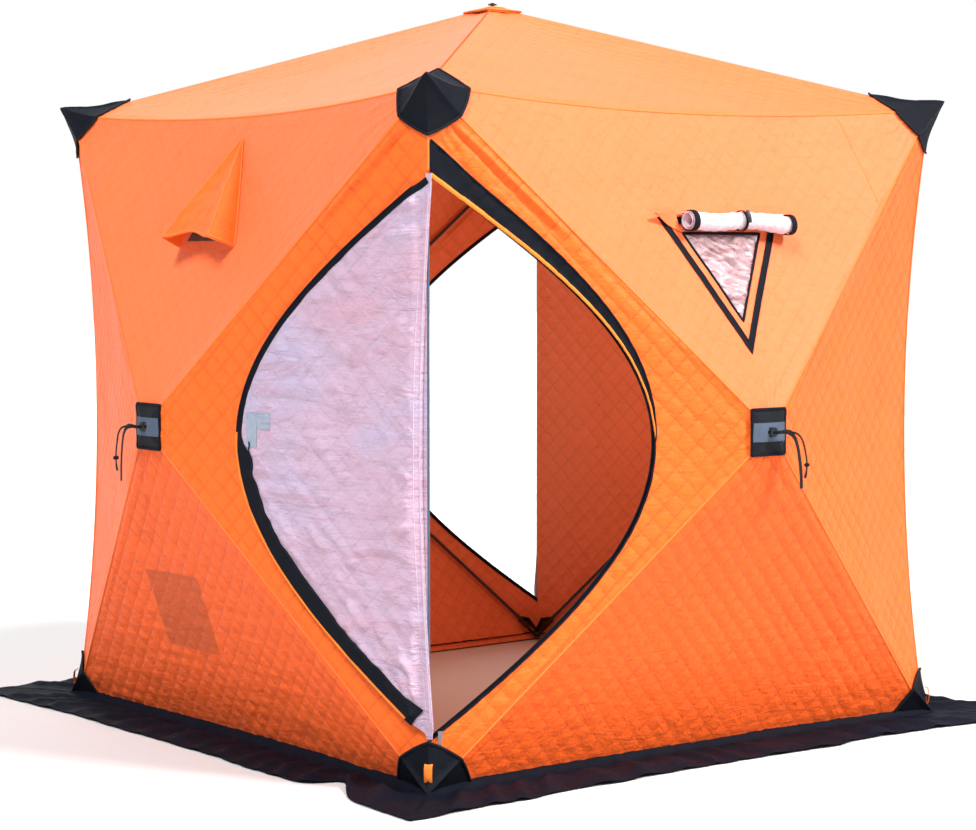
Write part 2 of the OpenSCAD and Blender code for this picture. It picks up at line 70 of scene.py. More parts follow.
SIDE_SCALE = GORE_LEN / HALF
UPPER_SCALE = math.hypot(RISE - EAVE_SAG, WALL_OUT + EAVE_PULL) / (RISE - EAVE_SAG)
LOWER_SCALE = math.hypot(RISE, WALL_OUT + BASE_PULL) / RISE
CLOTH_T = 0.003
QUILT_PITCH = 0.045
MESH_STEP = 0.0078
HUB_HOLE = 0.014
SHARP_ANGLE = 48
WALLS = ("front", "right", "back", "left")
TAU = 2 * math.pi


# ---------------------------------------------------------------- camera

LENS_MM = 91.9
CAMERA_AT = (-4.540, -5.836, 1.341)
CAMERA_DOWN = 3.67
CAMERA_TURN = -37.78


def make_camera():
    """The view of the photo; the two angles are in degrees, below the horizon and about Z."""
    camera = bpy.data.cameras.new("camera")
    camera.sensor_width = 36
    camera.lens = LENS_MM
    holder = bpy.data.objects.new("camera", camera)
    holder.location = CAMERA_AT
    holder.rotation_euler = (math.radians(90 - CAMERA_DOWN), 0, math.radians(CAMERA_TURN))
    bpy.context.scene.collection.objects.link(holder)
    bpy.context.scene.camera = holder


# ---------------------------------------------------------------- numbers

def smooth(x):
    x = np.clip(x, 0, 1)
    return x * x * (3 - 2 * x)


def noise(u, v, cell, seed):
    """Smooth random hills, about one cell across, from -1 to 1."""
    size = 64
    table = np.random.RandomState(seed).uniform(-1, 1, (size, size))
    a, b = u / cell + 31.7, v / cell + 17.3
    i, j = np.floor(a).astype(int), np.floor(b).astype(int)
    fa, fb = smooth(a - i), smooth(b - j)
    near = table[i % size, j % size] * (1 - fa) + table[(i + 1) % size, j % size] * fa
    far = table[i % size, (j + 1) % size] * (1 - fa) + table[(i + 1) % size, (j + 1) % size] * fa
    return near * (1 - fb) + far * fb


def unit(v):
    return v / np.maximum(np.linalg.norm(v, axis=-1, keepdims=True), 1e-9)


def place(wall, p):
    """Moves points from the front wall to another. The left and right walls are mirrored."""
    x, y, z = p[..., 0], p[..., 1], p[..., 2]
    moved = {"front": (x, y, z), "left": (y, x, z), "back": (-x, -y, z), "right": (-y, -x, z)}[wall]
    return np.stack(moved, -1)


# ---------------------------------------------------------------- meshes

def build(name, verts, faces, materials, face_material=0, uv=None):
    """A mesh object from points and arrays of faces, each array with one number of corners."""
    faces = [f for f in (faces if isinstance(faces, list) else [faces]) if len(f)]
    loops = np.concatenate([f.ravel() for f in faces]).astype(np.int32)
    sizes = np.concatenate([np.full(len(f), f.shape[1]) for f in faces])
    starts = np.concatenate([[0], np.cumsum(sizes)[:-1]]).astype(np.int32)
    mesh = bpy.data.meshes.new(name)
    mesh.vertices.add(len(verts))
    mesh.vertices.foreach_set("co", np.asarray(verts, np.float32).ravel())
    mesh.loops.add(len(loops))
    mesh.loops.foreach_set("vertex_index", loops)
    mesh.polygons.add(len(sizes))
    mesh.polygons.foreach_set("loop_start", starts)
    mesh.polygons.foreach_set("material_index", np.broadcast_to(face_material, len(sizes)).astype(np.int32))
    if uv is not None:
        mesh.uv_layers.new(name="UVMap").data.foreach_set("uv", uv[loops].astype(np.float32).ravel())
    mesh.update(calc_edges=True)
    mesh.validate()
    mesh.shade_smooth()
    mesh.set_sharp_from_angle(angle=math.radians(SHARP_ANGLE))
    for m in materials:
        mesh.materials.append(m)
    obj = bpy.data.objects.new(name, mesh)
    bpy.context.scene.collection.objects.link(obj)
    return obj


def grid_faces(rows, cols, closed_rows=False, closed_cols=False):
    steps = rows - (not closed_rows), cols - (not closed_cols)
    i, j = np.meshgrid(np.arange(steps[0]), np.arange(steps[1]), indexing="ij")
    i2, j2 = (i + 1) % rows, (j + 1) % cols
    return np.stack([i * cols + j, i * cols + j2, i2 * cols + j2, i2 * cols + j], -1).reshape(-1, 4)


def rim_faces(faces, count):
    """Faces that join the open edges of a layer to the same edges of the layer below it."""
    edges = np.concatenate([faces[:, [k, (k + 1) % 4]] for k in range(4)])
    edges = edges[edges[:, 0] != edges[:, 1]]
    key = np.sort(edges, 1)
    key = key[:, 0] * (count + 1) + key[:, 1]
    _, first, number = np.unique(key, return_index=True, return_counts=True)
    open_edges = edges[first[number == 1]]
    a, b = open_edges[:, 0], open_edges[:, 1]
    return np.stack([b, a, a + count, b + count], -1)


def grid_normals(p, towards):
    across = np.gradient(p, axis=1)
    along = np.gradient(p, axis=0)
    n = unit(np.cross(across, along))
    return -n if (n * towards).sum() < 0 else n


def sheet_parts(p, normals, thickness, keep=None):
    """Points, faces and layers of a closed sheet: the outer layer p and the same layer moved inwards."""
    rows, cols = p.shape[:2]
    count = rows * cols
    faces = grid_faces(rows, cols)
    q = p.reshape(-1, 3)
    n = normals.reshape(-1, 3)
    centre = faces[len(faces) // 2 + cols // 2]
    turn = np.cross(q[centre[2]] - q[centre[0]], q[centre[3]] - q[centre[1]]) @ n[centre[0]]
    if turn < 0:
        faces = faces[:, ::-1]
    if keep is not None:
        faces = faces[keep.ravel()]
    rim = rim_faces(faces, count)
    every = np.concatenate([faces, faces[:, ::-1] + count, rim])
    layer = np.concatenate([np.zeros(len(faces)), np.ones(len(faces)), np.zeros(len(rim))])
    return np.concatenate([q, q - n * thickness]), every, layer


def thick_sheet(name, p, normals, thickness, materials, uv, keep=None):
    """A closed sheet in one or two materials, the second one inside."""
    verts, faces, layer = sheet_parts(p, normals, thickness, keep)
    uv = np.tile(uv.reshape(-1, 2), (2, 1))
    return build(name, verts, faces, materials, layer * (len(materials) - 1), uv)


def turned_frames(path, out):
    """Directions across and out of a path, starting from out and turned as little as the path allows."""
    t = unit(np.gradient(path, axis=0))
    up = [np.asarray(out, float)]
    for direction in t:
        up.append(unit(up[-1] - direction * (up[-1] @ direction)))
    up = np.array(up[1:])
    return np.cross(t, up), up


class Heap:
    """Several shapes that make one piece."""

    def __init__(self):
        self.verts, self.faces, self.uv, self.weight, self.layer = [], [], [], [], []
        self.count = 0

    def add(self, verts, faces, uv, weight=0.0, layer=0):
        self.verts.append(verts)
        self.uv.append(uv)
        self.weight.append(np.broadcast_to(weight, len(verts)))
        for f in faces if isinstance(faces, list) else [faces]:
            self.faces.append(f + self.count)
            self.layer.append(np.full(len(f), layer))
        self.count += len(verts)

    def sheet(self, p, normals, thickness, uv, weight=0.0, layer=0, keep=None):
        verts, faces, _ = sheet_parts(p, normals, thickness, keep)
        weight = np.tile(np.broadcast_to(weight, p.shape[:2]).ravel(), 2)
        self.add(verts, faces, np.tile(uv.reshape(-1, 2), (2, 1)), weight, layer)

    def tube(self, path, out, width, height, weight=0.0, layer=0, sides=10, closed=False):
        """A rounded tape or cord along a path; out is its upper side, one direction or one for each point."""
        path = np.asarray(path, float)
        n = len(path)
        if closed:
            t = unit(np.roll(path, -1, 0) - np.roll(path, 1, 0))
            up = np.broadcast_to(out, path.shape)
            side = unit(np.cross(t, up))
            up = np.cross(side, t)
        elif np.ndim(out) == 2:
            t = unit(np.gradient(path, axis=0))
            side = unit(np.cross(t, out))
            up = np.cross(side, t)
        else:
            side, up = turned_frames(path, out)
        turn = np.arange(sides) * TAU / sides
        width = np.broadcast_to(width, n)[:, None, None]
        height = np.broadcast_to(height, n)[:, None, None]
        ring = path[:, None] + side[:, None] * np.cos(turn)[:, None] * width / 2
        ring = ring + up[:, None] * np.sin(turn)[:, None] * height / 2
        faces = [grid_faces(n, sides, closed, True)]
        if not closed:
            faces += [np.arange(sides)[None, ::-1], (np.arange(sides) + (n - 1) * sides)[None]]
        along = np.concatenate([[0], np.cumsum(np.linalg.norm(np.diff(path, axis=0), axis=1))])
        around = np.abs(np.linspace(-1, 1, sides)) * width[:, :, 0]
        uv = np.stack([along[:, None] * np.ones(sides), around], -1).reshape(-1, 2)
        weight = np.repeat(np.broadcast_to(weight, n), sides)
        verts = ring.reshape(-1, 3)
        first = faces[0][0]
        face_out = np.cross(verts[first[2]] - verts[first[0]], verts[first[3]] - verts[first[1]])
        if face_out @ (verts[first].mean(0) - path[0]) < 0:
            faces = [f[:, ::-1] for f in faces]
        self.add(verts, faces, uv, weight, layer)

    def make(self, name, materials):
        obj = build(name, np.concatenate(self.verts), self.grouped(), materials, self.layers(),
                    np.concatenate(self.uv))
        self.weights = np.concatenate(self.weight)
        return obj

    def order(self):
        return sorted(range(len(self.faces)), key=lambda i: self.faces[i].shape[1])

    def grouped(self):
        return [self.faces[i] for i in self.order()]

    def layers(self):
        return np.concatenate([self.layer[i] for i in self.order()])

    def hung(self, name, materials):
        """Makes the piece and bakes its placement; its own weights, meant to hang it between the shell and a
        hub, are not applied.
        """
        return hang(self.make(name, materials), self.weights, False)


# ---------------------------------------------------------------- the cloth of a wall

CORNERS = [np.array([x, -HALF, z]) for x, z in ((-HALF, EAVE), (HALF, EAVE), (HALF, FLOOR), (-HALF, FLOOR))]
PULLS = [np.array(p) for p in (
    (0, EAVE_PULL, -EAVE_SAG), (-EDGE_PULL, EDGE_PULL, 0), (0, BASE_PULL, 0), (0, 0, 0))]
GORES = ("upper", "side", "lower", "door")
DIPS = (EAVE_SAG, EDGE_PULL, 0, 0)
INWARD = (EAVE_PULL, EDGE_PULL, BASE_PULL, 0)
# Heights of the quilted diamonds on each kind of gore, and of its creases along the ridges and its ripples
PUFFS = {"upper": 0.0010, "side": 0.0040, "lower": 0.0040, "door": 0.0042, "roof": 0.0016}
RIDGE_CREASES = (0.0010, 0.0020, 0.0016, 0.0030)
RIPPLES = (0.0003, 0.0012, 0.0014, 0.0008)


def edge_point(k, s):
    a, b = CORNERS[k], CORNERS[(k + 1) % 4]
    s = np.asarray(s)[..., None]
    return a + (b - a) * s + PULLS[k] * 4 * s * (1 - s)


def gore_share(k, x, z):
    """Where (x, z) lies in gore k: r from 0 at the hub to 1 at the edge, and t from -1 to 1 along it."""
    along = (z - HUB_Z, x, HUB_Z - z, -x)[k]
    across = (x / HALF, (z - HUB_Z) / RISE, x / HALF, (z - HUB_Z) / RISE)[k]
    reach = (RISE, HALF, RISE, HALF)[k]
    r = along / reach
    for _ in range(6):
        t = np.clip(across / np.maximum(r, 1e-5), -1, 1)
        r = along / (reach - DIPS[k] * (1 - t * t))
    return r, t


def gore_depth(k, x, z):
    """How far out gore k's smooth surface lies at (x, z), along Y."""
    r, t = gore_share(k, x, z)
    return APEX[1] + r * (WALL_OUT + INWARD[k] * (1 - t * t))


def gore_uv(k, x, z):
    """Flat coordinates on gore k, in metres."""
    if k == 0:
        return np.stack([x, (z - HUB_Z) * UPPER_SCALE], -1)
    if k == 2:
        return np.stack([x, (HUB_Z - z) * LOWER_SCALE], -1)
    return np.stack([(HALF - np.abs(x)) * SIDE_SCALE, z], -1)


def puff(u, v):
    """Height of a quilted diamond, from 0 on its stitching to 1 at its middle."""
    a = np.abs(np.sin(math.pi * (u + v) / math.sqrt(2) / QUILT_PITCH))
    b = np.abs(np.sin(math.pi * (u - v) / math.sqrt(2) / QUILT_PITCH))
    return (a * b) ** 0.55


def fan(u, v, centre, folds, reach, seed):
    """Wrinkles that run out from a point and fade with distance."""
    du, dv = u - centre[0], v - centre[1]
    far = np.hypot(du, dv)
    angle = np.arctan2(dv, du) + 0.12 * noise(du, dv, 0.09, seed)
    height = 0.6 * np.sin(folds * angle) + 0.4 * np.sin(folds * 0.53 * angle + 1.3)
    return height * smooth(far / 0.11) * np.exp(-far / reach) * (0.6 + 0.4 * noise(u, v, 0.12, seed + 1))


def relief(kind, u, v, edge_far, seed, fans=()):
    """How far the quilted cloth stands off its smooth surface."""
    mask = smooth(edge_far / 0.03)
    height = PUFFS[kind] * puff(u, v) * (0.75 + 0.35 * noise(u, v, 0.16, seed))
    height = height + 0.0032 * noise(u, v, 0.26, seed + 1) + 0.0012 * noise(u, v, 0.075, seed + 2)
    creases = noise(u + 0.4 * v, v - 0.3 * u, 0.045, seed + 3)
    height = height + 0.0009 * creases * smooth(noise(u, v, 0.3, seed + 4) * 2)
    for centre, folds, reach, size in fans:
        height = height + size * fan(u, v, centre, folds, reach, seed + 5)
    return height * mask


def gore_fans(k):
    """Fans of wrinkles at a gore's two corners and at its hub, in its flat coordinates."""
    ends = [gore_uv(k, *CORNERS[c][[0, 2]]) for c in (k, (k + 1) % 4)]
    hub = gore_uv(k, np.array(0.0), np.array(HUB_Z))
    at_hub = (hub, 38, 0.12, 0.0016 if k == 0 else 0.0040)
    return [(ends[0], 44, 0.17, 0.0052), (ends[1], 47, 0.17, 0.0052), at_hub]


def gore_relief(k, x, z, seed):
    """Quilting, creases and ripples on gore k, which fade out towards its seams and its outer corners."""
    r, t = gore_share(k, x, z)
    uv = gore_uv(k, x, z)
    edge_far = np.minimum((1 - r) * HALF, (1 - np.abs(t)) * r * HALF)
    height = relief(GORES[k], uv[..., 0], uv[..., 1], edge_far, seed + 40 * k, gore_fans(k))
    beside = (1 - np.abs(t)) * r * HALF
    drawn = noise(r * 0.16, beside + 0.02 * r, 0.020, seed + 40 * k + 8)
    height = height + RIDGE_CREASES[k] * drawn * np.exp(-beside / 0.11) * smooth(edge_far / 0.02)
    rippled = noise(uv[..., 0] * 0.16, uv[..., 1], 0.020, seed + 40 * k + 9)
    patchy = smooth(0.5 + noise(uv[..., 0], uv[..., 1], 0.35, seed + 40 * k + 10))
    height = height + RIPPLES[k] * rippled * patchy * smooth(edge_far / 0.04)
    if k == 3:
        tucked = np.exp(-((beside - 0.030) / 0.010) ** 2) - 0.6 * np.exp(-((beside - 0.052) / 0.009) ** 2)
        height = height + 0.0060 * tucked * smooth((r - 0.60) / 0.08) * smooth(t * 4)
    from_corner = np.hypot(np.abs(x) - HALF, np.minimum(np.abs(z - EAVE), np.abs(z - FLOOR)))
    return height * smooth((from_corner - 0.09) / 0.07)


def gore_normal(k, x, z):
    step = 0.004
    slope_x = (gore_depth(k, x + step, z) - gore_depth(k, x - step, z)) / (2 * step)
    slope_z = (gore_depth(k, x, z + step) - gore_depth(k, x, z - step)) / (2 * step)
    return unit(np.stack([slope_x, -np.ones_like(slope_x), slope_z], -1))


def wall_seed(wall):
    return 100 + 500 * WALLS.index(wall)


def on_gore(wall, k, x, z, lift=0.0, rough=1.0):
    """Points on gore k, lifted off the cloth, as on the front wall."""
    x, z, _ = np.broadcast_arrays(np.asarray(x, float), z, lift)
    p = np.stack([x, gore_depth(k, x, z), z], -1)
    height = rough * gore_relief(k, x, z, wall_seed(wall)) + lift
    return p + gore_normal(k, x, z) * height[..., None]


def hub_weight(k, x, z):
    return np.clip(1 - gore_share(k, x, z)[0], 0, 1)


def hang(obj, weight, twice=True):
    """Bakes the piece's placement into its points. The weights, 0 to follow the shell and 1 to follow the
    body, are not applied.
    """
    weight = weight.ravel()
    if twice:
        weight = np.tile(weight, 2)
    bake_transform(obj)
    return obj


def bezier(points, t):
    """Points along a cubic curve."""
    t = np.asarray(t)[..., None]
    a, b, c, d = (np.array(p, float) for p in points)
    return a * (1 - t) ** 3 + b * 3 * t * (1 - t) ** 2 + c * 3 * t * t * (1 - t) + d * t ** 3


# Half of the door's outline on its gore: across from the fold line, and up
DOOR_TOP = 1.545
DOOR_BOTTOM = 0.135
DOOR_MID = 0.860
DOOR_W = 0.610
LENS_UPPER = [
    (0, DOOR_TOP), (DOOR_W * 0.49, DOOR_TOP - 0.205), (DOOR_W, DOOR_MID + 0.270), (DOOR_W, DOOR_MID)]
LENS_LOWER = [
    (DOOR_W, DOOR_MID), (DOOR_W, DOOR_MID - 0.260), (DOOR_W * 0.54, DOOR_BOTTOM + 0.235), (0, DOOR_BOTTOM)]


def lens(share):
    """Points round the door's outline, from its top at 0 past its widest at 0.5 to its bottom at 1."""
    share = np.asarray(share, float)
    upper = bezier(LENS_UPPER, np.clip(share * 2, 0, 1))
    lower = bezier(LENS_LOWER, np.clip(share * 2 - 1, 0, 1))
    return np.where((share < 0.5)[..., None], upper, lower)


def lens_offset(share, offset):
    """The same points, moved away from the door by an offset. Below 0 the outline goes on straight."""
    step = 0.002
    inside = np.clip(share, 0, 1)
    d = unit(lens(np.clip(inside + step, 0, 1)) - lens(np.clip(inside - step, 0, 1)))
    outward = np.stack([-d[..., 1], d[..., 0]], -1)
    beyond = (share - inside) * 2 * DOOR_W
    return lens(inside) + outward * np.asarray(offset)[..., None] + d * beyond[..., None]


def door_x(w):
    return -HALF + w * math.cos(GORE_ANGLE)


def make_gore(wall, k, has_door, has_window, outer, inner):
    """One gore of a wall; the door's gore stops at the opening and the window's has its hole."""
    if k == 3 and has_door:
        rows, cols = 46, 330
        share = np.linspace(0, 1, cols)
        ring = lens(share)
        top, hub, bottom = np.array([0, EAVE]), np.array([GORE_LEN, HUB_Z]), np.array([0, FLOOR])
        reach = 1 - HUB_HOLE
        half = (share * 2)[:, None]
        above = top + (hub - top) * half * reach
        frame_line = np.where(half < 1, above, bottom + (hub - bottom) * (2 - half) * reach)
        out = np.linspace(0, 1, rows)[:, None, None]
        flat = ring + (frame_line - ring) * out
        x, z = door_x(flat[..., 0]), flat[..., 1]
    else:
        length = (2 * HALF, EAVE - FLOOR)[k % 2]
        rows, cols = int(GORE_LEN / MESH_STEP), int(length / MESH_STEP)
        r = np.linspace(HUB_HOLE, 1, rows)[:, None, None]
        p = APEX + (edge_point(k, np.linspace(0, 1, cols)) - APEX) * r
        x, z = p[..., 0], p[..., 2]
    keep = None
    if k == 0 and has_window:
        keep = ~in_window((x[1:, 1:] + x[:-1, :-1]) / 2, (z[1:, 1:] + z[:-1, :-1]) / 2, WINDOW_HOLE)
    piece = thick_sheet(f"cloth_{wall}_{GORES[k]}", place(wall, on_gore(wall, k, x, z)),
                        place(wall, gore_normal(k, x, z)), CLOTH_T, [outer[GORES[k]], inner],
                        gore_uv(k, x, z), keep)
    hang(piece, hub_weight(k, x, z))
    return piece


# ---------------------------------------------------------------- the window on an upper gore

WINDOW_TOP = 1.440
WINDOW_W = 0.430
WINDOW_H = 0.385
WINDOW_HOLE = 0.046


def window_corners(inset):
    top = (WINDOW_TOP - HUB_Z) * UPPER_SCALE
    radius = WINDOW_W * WINDOW_H / (WINDOW_W + 2 * math.hypot(WINDOW_W / 2, WINDOW_H))
    centre = np.array([0, top - radius])
    corners = np.array([[-WINDOW_W / 2, top], [WINDOW_W / 2, top], [0, top - WINDOW_H]])
    return centre + (corners - centre) * (radius - inset) / radius


def in_window(x, z, inset):
    u, v = x, (z - HUB_Z) * UPPER_SCALE
    c = window_corners(inset)
    inside = np.ones(np.shape(u), bool)
    for a, b in ((0, 1), (1, 2), (2, 0)):
        d = c[b] - c[a]
        inside &= (d[0] * (v - c[a][1]) - d[1] * (u - c[a][0])) < 0
    return inside


# ---------------------------------------------------------------- the roof

def roof_points(r, s):
    edge = edge_point(0, s)
    return ROOF_APEX + (edge - ROOF_APEX) * r[..., None]


def make_roof(wall, outer, inner):
    rows, cols = 104, 190
    r = np.linspace(0.008, 1, rows)[:, None] * np.ones(cols)
    s = np.ones((rows, 1)) * np.linspace(0, 1, cols)
    smooth_p = roof_points(r, s)
    u = smooth_p[..., 0]
    reach = math.hypot(HALF, PEAK - EAVE)
    v = r * reach
    edge_far = np.minimum((1 - r) * HALF, (1 - np.abs(2 * s - 1)) * r * HALF)
    fans = [((-HALF, reach), 40, 0.17, 0.0036), ((HALF, reach), 43, 0.17, 0.0036), ((0, 0), 30, 0.10, 0.002)]
    height = relief("roof", u, v, edge_far, 3100 + wall_seed(wall), fans)
    normals = grid_normals(smooth_p, np.array([0, 0, 1]))
    p = smooth_p + normals * height[..., None]
    piece = thick_sheet(f"cloth_roof_{wall}", place(wall, p), place(wall, normals), CLOTH_T,
                        [outer["roof"], inner], np.stack([u, v], -1))
    hang(piece, 1 - r)
    return piece


# ---------------------------------------------------------------- seams

OUTWARD = np.array([0.0, -1.0, 0.0])
UPWARD = np.array([0.0, 0.0, 1.0])


def make_wall_seams(wall, m):
    """Welts along the four ridges of a wall and the panel seam near the far end of its upper gore."""
    heap = Heap()
    r = np.linspace(0.04, 1, 60)
    for corner in CORNERS:
        path = APEX + (corner - APEX) * r[:, None]
        heap.tube(place(wall, path + OUTWARD * 0.0002), place(wall, OUTWARD), 0.0052, 0.0030, 1 - r, sides=8)
    s = np.linspace(0, 1, 40)
    x = 0.539 + 0.061 * s ** 0.8
    z = 1.728 - 0.262 * s
    p = on_gore(wall, 0, x, z, 0.0004)
    heap.tube(place(wall, p), place(wall, OUTWARD), 0.0046, 0.0018, hub_weight(0, x, z), sides=8)
    heap.hung(f"seams_{wall}", [m["seam"]])


def make_shell_seams(m):
    """Welts along the eaves, the plain uprights and the door corners."""
    heap = Heap()
    s = np.linspace(0, 1, 110)
    for wall in WALLS:
        out = place(wall, unit(np.array([0, -1.0, 0.8])))
        heap.tube(place(wall, edge_point(0, s)), out, 0.0064, 0.0040, sides=8)
    for wall in ("front", "back"):
        out = place(wall, unit(np.array([1.0, -1.0, 0])))
        heap.tube(place(wall, edge_point(1, s)), out, 0.0085, 0.0050, sides=8)
        out = place(wall, unit(np.array([-1.0, -1.0, 0])))
        low, high = np.array([-HALF, -HALF, FLOOR]), np.array([-HALF, -HALF, EAVE])
        for a, b, layer in ((0.0, 0.07, 0), (0.075, 0.875, 1), (0.88, 1.0, 0)):
            path = low + (high - low) * np.linspace(a, b, 60)[:, None]
            heap.tube(place(wall, path), out, 0.0070, 0.0060, 0, layer, 8)
    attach(heap.make("seams_shell", [m["seam"], m["grey_web"]]), "shell")
    heap = Heap()
    r = np.linspace(0.03, 1, 70)
    for wall in WALLS:
        path = ROOF_APEX + (CORNERS[0] - ROOF_APEX) * r[:, None]
        heap.tube(place(wall, path), UPWARD, 0.0056, 0.0034, 1 - r, sides=8)
    heap.hung("seams_roof", [m["seam"]])


# ---------------------------------------------------------------- corner caps

CAP_REACH = 0.138
CAP_DROP = 0.128
CAP_T = 0.0022


def cap_facet(heap, put, centre, a, b, out, poles, weight_of, dome=0.034):
    """One facet of a corner cap, from the corner to the line a-b. Poles press through along a or b."""
    n = 16
    u = np.linspace(0.02, 1, n)[:, None, None]
    v = np.linspace(0, 1, n)[None, :, None]
    flat = centre + (a + (b - a) * v - centre) * u * (1 + 0.03 * 4 * v * (1 - v) * u)
    span = np.linalg.norm(b - a)
    far = np.linalg.norm(flat - centre, axis=-1)
    height = 0.0075 + dome * np.exp(-(far / 0.060) ** 2)
    for pole, gap in ((poles[0], (v * u)[..., 0] * span), (poles[1], ((1 - v) * u)[..., 0] * span)):
        if pole:
            height = height + 0.0075 * np.exp(-(gap / 0.009) ** 2) * smooth((1.02 - u[..., 0]) / 0.3)
    pucker = noise(flat[..., 0] + flat[..., 1], flat[..., 2], 0.022, 61)
    p = flat + out * (height + 0.0012 * pucker)[..., None]
    weight = weight_of(flat)
    uv = np.stack([flat[..., 0] + flat[..., 1], flat[..., 2]], -1)
    heap.sheet(put(p), put(np.broadcast_to(out, p.shape)), CAP_T, uv, weight)
    heap.tube(put(p[-1] + out * 0.0002), put(out), 0.0090, 0.0062, weight[-1], 1, 8)


def wall_weight(p):
    return np.clip(1 - np.stack([gore_share(k, p[..., 0], p[..., 2])[0] for k in range(4)]).max(0), 0, 1)


def roof_weight(p):
    return np.clip(1 - np.maximum(np.abs(p[..., 0]), np.abs(p[..., 1])) / HALF, 0, 1)


def make_caps(m):
    for wall in WALLS:
        heap = Heap()

        def put(p, wall=wall):
            return place(wall, p)

        for k in range(4):
            centre = CORNERS[k]
            before, after = (k + 3) % 4, k
            reach = (CAP_REACH, CAP_DROP)
            share_before = reach[before % 2] / np.linalg.norm(CORNERS[k] - CORNERS[before])
            share_after = reach[after % 2] / np.linalg.norm(CORNERS[(k + 1) % 4] - CORNERS[k])
            a = edge_point(before, 1 - share_before)
            b = edge_point(after, share_after)
            seam = centre + unit(APEX - centre) * CAP_REACH * 0.86
            out = unit(np.array([np.sign(centre[0]) * 0.9, -0.9, 0.75 if k < 2 else 0.0]))
            dome = 0.034 if k < 2 else 0.013
            cap_facet(heap, put, centre, a, seam, out, (False, True), wall_weight, dome)
            cap_facet(heap, put, centre, seam, b, out, (True, False), wall_weight, dome)
        piece = heap.hung(f"corner_caps_{wall}", [m["black"], m["black_web"]])
        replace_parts(piece, "corner_caps")
    heap = Heap()
    centre = CORNERS[0]
    a = edge_point(0, CAP_REACH / (2 * HALF))
    b = a[[1, 0, 2]]
    seam = centre + unit(ROOF_APEX - centre) * CAP_REACH * 1.35
    out = unit(np.array([-0.9, -0.9, 0.75]))
    for side_x, side_y in ((1, 1), (-1, 1), (-1, -1), (1, -1)):
        def put(p, sides=np.array([side_x, side_y, 1.0])):
            return p * sides

        cap_facet(heap, put, centre, a, seam, out, (False, True), roof_weight)
        cap_facet(heap, put, centre, seam, b, out, (True, False), roof_weight)
    piece = heap.hung("corner_caps_roof", [m["black"], m["black_web"]])
    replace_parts(piece, "corner_caps")


def make_tabs(m):
    """A webbing loop on each lower corner."""
    heap = Heap()
    profile = [
        (0.006, 0.078), (0.012, 0.076), (0.0155, 0.068), (0.0165, 0.056), (0.0160, 0.044), (0.0135, 0.034),
        (0.0105, 0.030), (0.0085, 0.036), (0.0080, 0.050)]
    steps = np.linspace(0, len(profile) - 1, 40)
    along = np.array(profile)
    far = np.interp(steps, np.arange(len(profile)), along[:, 0])
    high = np.interp(steps, np.arange(len(profile)), along[:, 1])
    for x, y in ((-1, -1), (1, -1), (1, 1), (-1, 1)):
        out = np.array([x, y, 0]) / math.sqrt(2)
        path = np.array([x * HALF, y * HALF, 0]) + out * far[:, None] + UPWARD * high[:, None]
        up = np.cross(np.cross(UPWARD, out), np.gradient(path, axis=0))
        heap.tube(path, np.broadcast_to(up, path.shape), 0.021, 0.0022, sides=12)
    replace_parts(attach(heap.make("corner_tabs_webbing", [m["binding"]]), "shell"), "corner_tabs")


# ---------------------------------------------------------------- hub patches and straps

PATCH = 0.062
BAND_HALF = 0.0265


def rounded_peak(apex, p, peak, sink):
    """Rounds off the point of a pyramid whose tip is at the apex, along the peak direction."""
    depth = (apex - p) @ peak
    return p + peak * (depth - np.sqrt(np.maximum(depth, 0) ** 2 + 0.006 ** 2) + 0.002 + sink)[..., None]


def patch_points(wall, x, y, lift):
    """A patch over a wall hub, or over the roof hub, in its own flat coordinates."""
    if wall == "roof":
        share = np.maximum(np.abs(x), np.abs(y)) / HALF
        p = np.stack([x, y, PEAK - share * (PEAK - EAVE)], -1)
        return rounded_peak(ROOF_APEX, p, UPWARD, 0.0040 + lift), 1 - share
    z = HUB_Z + y
    share = np.stack([gore_share(k, x, z)[0] for k in range(4)]).max(0)
    p = np.stack([x, APEX[1] + share * WALL_OUT, z], -1)
    return place(wall, rounded_peak(APEX, p, OUTWARD, 0.0040 + lift)), 1 - share


